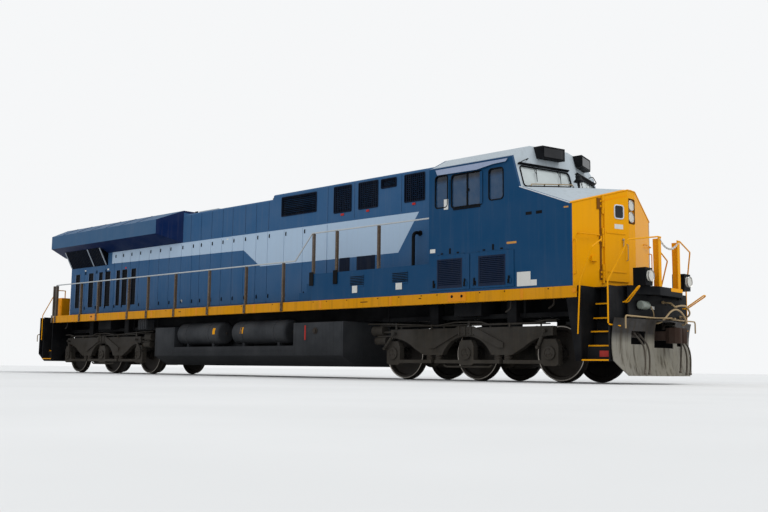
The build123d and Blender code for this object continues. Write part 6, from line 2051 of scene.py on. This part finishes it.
@dataclass
class Tank(Assembly):
    """The gauge, filler, seams and tags of the fuel tank, and the straps of the air reservoirs."""

    face: float = 1.496
    reservoirs: Pairs = ((-2.780, -0.970), (-0.400, 1.650))
    reservoir_y: float = -1.165
    reservoir_rise: float = 1.070

    def build(self) -> None:
        """Builds every fitting of the tank and the reservoirs."""
        y = -self.face
        self.pair("tank_gauge", Bench.block((2.435, y - 0.010, 0.850), (2.475, y + 0.002, 1.190)), Paint.RED)
        profile = (
            (0.0, 0.0), (0.075, 0.0), (0.075, 0.018), (0.052, 0.022), (0.052, 0.050), (0.046, 0.056),
            (0.0, 0.056)
        )
        self.pair("tank_filler", Bench.lathe(profile, (2.800, y + 0.001, 1.060), RIGHT, 28), Paint.IRON)
        seams = [(x - 0.006, x + 0.006, 0.500, 1.250) for x in (2.10, 3.66, -3.66, -2.87)]
        seams.append((-2.800, 2.030, 0.600, 0.612))
        self.pair("tank_seams", Bench.plates(seams, y - 0.004, y + 0.002, 0.002, 1), Paint.TANK)
        self._reservoirs()

    def _reservoirs(self) -> None:
        """The straps, the drain cocks and the yellow tags of the reservoirs."""
        y, z = self.reservoir_y, self.reservoir_rise
        strap = ((0.288, 0.0), (0.303, 0.0), (0.303, 0.055), (0.288, 0.055), (0.288, 0.0))
        straps, tags, cocks = [], [], []
        for low, high in self.reservoirs:
            straps += [Bench.lathe(strap, (x - 0.0275, y, z), AHEAD, 48) for x in (low + 0.42, high - 0.42)]
            for x, out in ((low - 0.010, -0.03), (high + 0.010, 0.03)):
                cocks.append(Bench.rod((x, y, z), (x + out, y, z), 0.030, 16, 0.004))
        turns = [math.radians(angle) for angle in (-6.0, 10.0, 26.0)]
        rim = [(y - 0.298 * math.cos(turn), z + 0.298 * math.sin(turn)) for turn in turns]
        outline = rim + [(across - 0.004, rise) for across, rise in reversed(rim)]
        for rear, front in ((-1.170, -1.065), (-0.020, 0.090)):
            tags.append(Bench.sheet([(rear, *spot) for spot in outline], AHEAD * (front - rear), 0.001))
        self.pair("reservoir_straps", straps, Paint.TANK)
        self.pair("reservoir_tags", tags, Paint.YELLOW)
        self.pair("reservoir_plugs", cocks, Paint.IRON)


@dataclass
class Pilot(Assembly):
    """The chain, air can, bent pipes, lamp rims and plates of the front end, and the rear locker."""

    post_x: float = 10.868
    post_y: float = 0.380
    chain_rise: float = 2.645
    sag: float = 0.150
    links: int = 19
    plate_x: float = 10.563
    arches: tuple[Sequence[Point], ...] = (
        (
            (10.563, -0.160, 1.100), (10.740, -0.160, 1.100), (10.800, -0.050, 1.210), (10.800, 0.176, 1.350),
            (10.800, 0.407, 1.390), (10.800, 0.636, 1.320), (10.790, 0.800, 1.180), (10.740, 0.860, 1.110),
            (10.563, 0.860, 1.110),
        ),
        (
            (10.563, 0.280, 1.520), (10.740, 0.290, 1.500), (10.790, 0.330, 1.420), (10.810, 0.500, 1.460),
            (10.810, 0.786, 1.470), (10.800, 0.960, 1.340), (10.740, 0.990, 1.265), (10.563, 0.990, 1.265),
        ),
    )
    loop: Sequence[Point] = (
        (10.563, -1.215, 1.440), (10.620, -1.225, 1.445), (10.945, -1.360, 1.690),
        (10.945, -1.290, 1.705), (10.620, -1.130, 1.445), (10.563, -1.120, 1.440),
    )
    step_bend: Sequence[Point] = (
        (10.470, -1.546, 1.046), (10.470, -1.546, 1.030), (10.560, -1.330, 1.010), (10.563, -1.320, 1.010),
    )
    can_pipe: Sequence[Point] = (
        (10.660, -0.425, 1.410), (10.665, -0.360, 1.400), (10.680, -0.280, 1.270),
        (10.640, -0.230, 1.180), (10.563, -0.230, 1.180),
    )
    can: Pairs = (
        (0.0, 0.0), (0.060, 0.0), (0.078, 0.016), (0.080, 0.220), (0.070, 0.270),
        (0.040, 0.310), (0.022, 0.320), (0.022, 0.350), (0.0, 0.350),
    )
    lamp_rim: Pairs = (
        (0.090, 0.0), (0.106, 0.0), (0.110, 0.012), (0.104, 0.020), (0.094, 0.012), (0.090, 0.0)
    )

    def build(self) -> None:
        """Builds every fitting of the front end, and the rear locker."""
        self._chain()
        self._can()
        self.pair(
            "ditch_lamp_rims", Bench.lathe(self.lamp_rim, (10.888, -0.770, 1.930), AHEAD, 36), Paint.STEEL
        )
        self._pipes()
        places = [
            (10.564, y * side, z) for side, _ in HANDS for y in (0.44, 0.62, 0.98) for z in (1.200, 1.480)
        ]
        self.put("pilot_bolts", Bench.bolts(places, AHEAD, 0.016, 0.012), Paint.IRON)
        self._end_posts()
        self._rear_locker()

    def _chain(self) -> None:
        """The sagging chain between the two end posts."""
        corners = ((-0.027, -0.015, 0.0), (0.027, -0.015, 0.0), (0.027, 0.015, 0.0), (-0.027, 0.015, 0.0))
        places = []
        for number in range(self.links):
            share = 2.0 * (number + 0.5) / self.links - 1.0
            rise = self.chain_rise - self.sag * (1.0 - share * share)
            slope = Matrix.Rotation(-math.atan2(2.0 * self.sag * share, self.post_y), 4, "Y")
            twist = Matrix.Rotation(math.pi / 2 * (number % 2), 4, "X")
            turn = Matrix.Rotation(math.pi / 2, 4, "Z") @ slope @ twist
            places.append(shift(self.post_x, share * self.post_y, rise) @ turn)
        self.put("end_chain", Bench.copies(Bench.tube(corners, 0.0075, 0.016, 1, True), places), Paint.PALE)

    def _can(self) -> None:
        """The air can on the pilot plate, its bracket, its thin pipe and the blank plate beside it."""
        self.put("air_can", Bench.lathe(self.can, (10.660, -0.770, 1.410), -RIGHT), Paint.CAN)
        x = self.plate_x
        bands = [
            Bench.block((x, y - 0.015, 1.320), (x + 0.037, y + 0.015, 1.500), 0.006) for y in (-0.700, -0.580)
        ]
        self.put("can_bracket", bands, Paint.BLACK)
        self.put("can_pipe", Bench.tube(self.can_pipe, 0.010, 0.05), Paint.TAN)
        self.put(
            "pilot_label", Bench.block((x, -0.180, 1.360), (x + 0.005, -0.040, 1.420), 0.001), Paint.PALE
        )

    def _pipes(self) -> None:
        """The two tan pipes that arch over the coupler between their elbows, and the yellow loop handles."""
        pipes = [Bench.tube(points, 0.018, 0.10) for points in self.arches]
        ends = ((-0.160, 1.100), (0.860, 1.110), (0.280, 1.520), (0.990, 1.265))
        pipes += [Bench.rod((10.562, y, z), (10.600, y, z), 0.030, 20, 0.005) for y, z in ends]
        self.put("arched_pipes", pipes, Paint.TAN)
        self.pair("loop_handles", Bench.tube(self.loop, 0.013, 0.05), Paint.YELLOW)
        self.pair("step_rail_bends", Bench.tube(self.step_bend, 0.0135, 0.03), Paint.YELLOW)
        self.put(
            "platform_nib", Bench.block((10.880, -0.020, 1.690), (10.904, 0.450, 1.759), 0.004), Paint.YELLOW
        )

    def _end_posts(self) -> None:
        """The wide orange plates of the two front end posts, with their feet."""
        outline = ((10.745, 1.757), (10.858, 1.757), (10.858, 2.655), (10.735, 2.655))
        parts = []
        for y in (-self.post_y, self.post_y):
            parts.append(Bench.sheet([(x, y - 0.006, z) for x, z in outline], (0.0, 0.012, 0.0)))
            parts.append(Bench.block((10.730, y - 0.055, 1.754), (10.875, y + 0.055, 1.772), 0.004))
        self.put("end_post_plates", parts, Paint.ORANGE_POST)

    def _rear_locker(self) -> None:
        """The orange locker that stands on the rear platform, with its door, hinges and latch."""
        box = Bench.block((-10.440, -0.930, 1.757), (-10.085, -0.630, 2.400), 0.012, 3)
        self.put("rear_locker", box, Paint.ORANGE_POST)
        x, y = -10.395, -0.940
        parts = [
            Bench.block((-10.405, -0.938, 1.800), (-10.120, -0.929, 2.360), 0.004),
            *(Bench.rod((x, y, z - 0.03), (x, y, z + 0.03), 0.009, 12, 0.002) for z in (1.900, 2.260)),
            Bench.block((-10.160, -0.948, 2.050), (-10.140, -0.936, 2.130), 0.004),
        ]
        self.put("rear_locker_door", parts, Paint.ORANGE_POST)


def dress_frame(palette: Palette, nodes: dict[str, Piece]) -> None:
    """Puts each CAD node's finish on it.

    Args:
        palette: The finishes.
        nodes: The CAD nodes by name.
    """
    left = set(nodes)
    for paint, names in NODE_PAINT.items():
        for name in names.split():
            palette.dress(nodes[name], paint)
            left.remove(name)
    if left:
        log.warning("no finish for %s", sorted(left))


def main() -> None:
    """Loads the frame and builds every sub-assembly in order."""
    logging.basicConfig(level=logging.INFO, format="%(message)s")
    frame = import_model()
    Studio().build()
    palette = Palette()
    dress_frame(palette, frame["nodes"])
    assemblies: tuple[Assembly, ...] = (
        FreeHoses(palette),
        Cab(palette),
        Nose(palette),
        Hood(palette),
        Roof(palette),
        Sills(palette),
        Steps(palette),
        Truck(palette, "truck_front", "front", 6.992),
        Truck(palette, "truck_rear", "rear", -6.992),
        Wheels(palette),
        Tank(palette),
        Pilot(palette),
    )
    for assembly in assemblies:
        assembly.build()
        log.info("built %s", type(assembly).__name__)


if __name__ == "__main__":
    main()
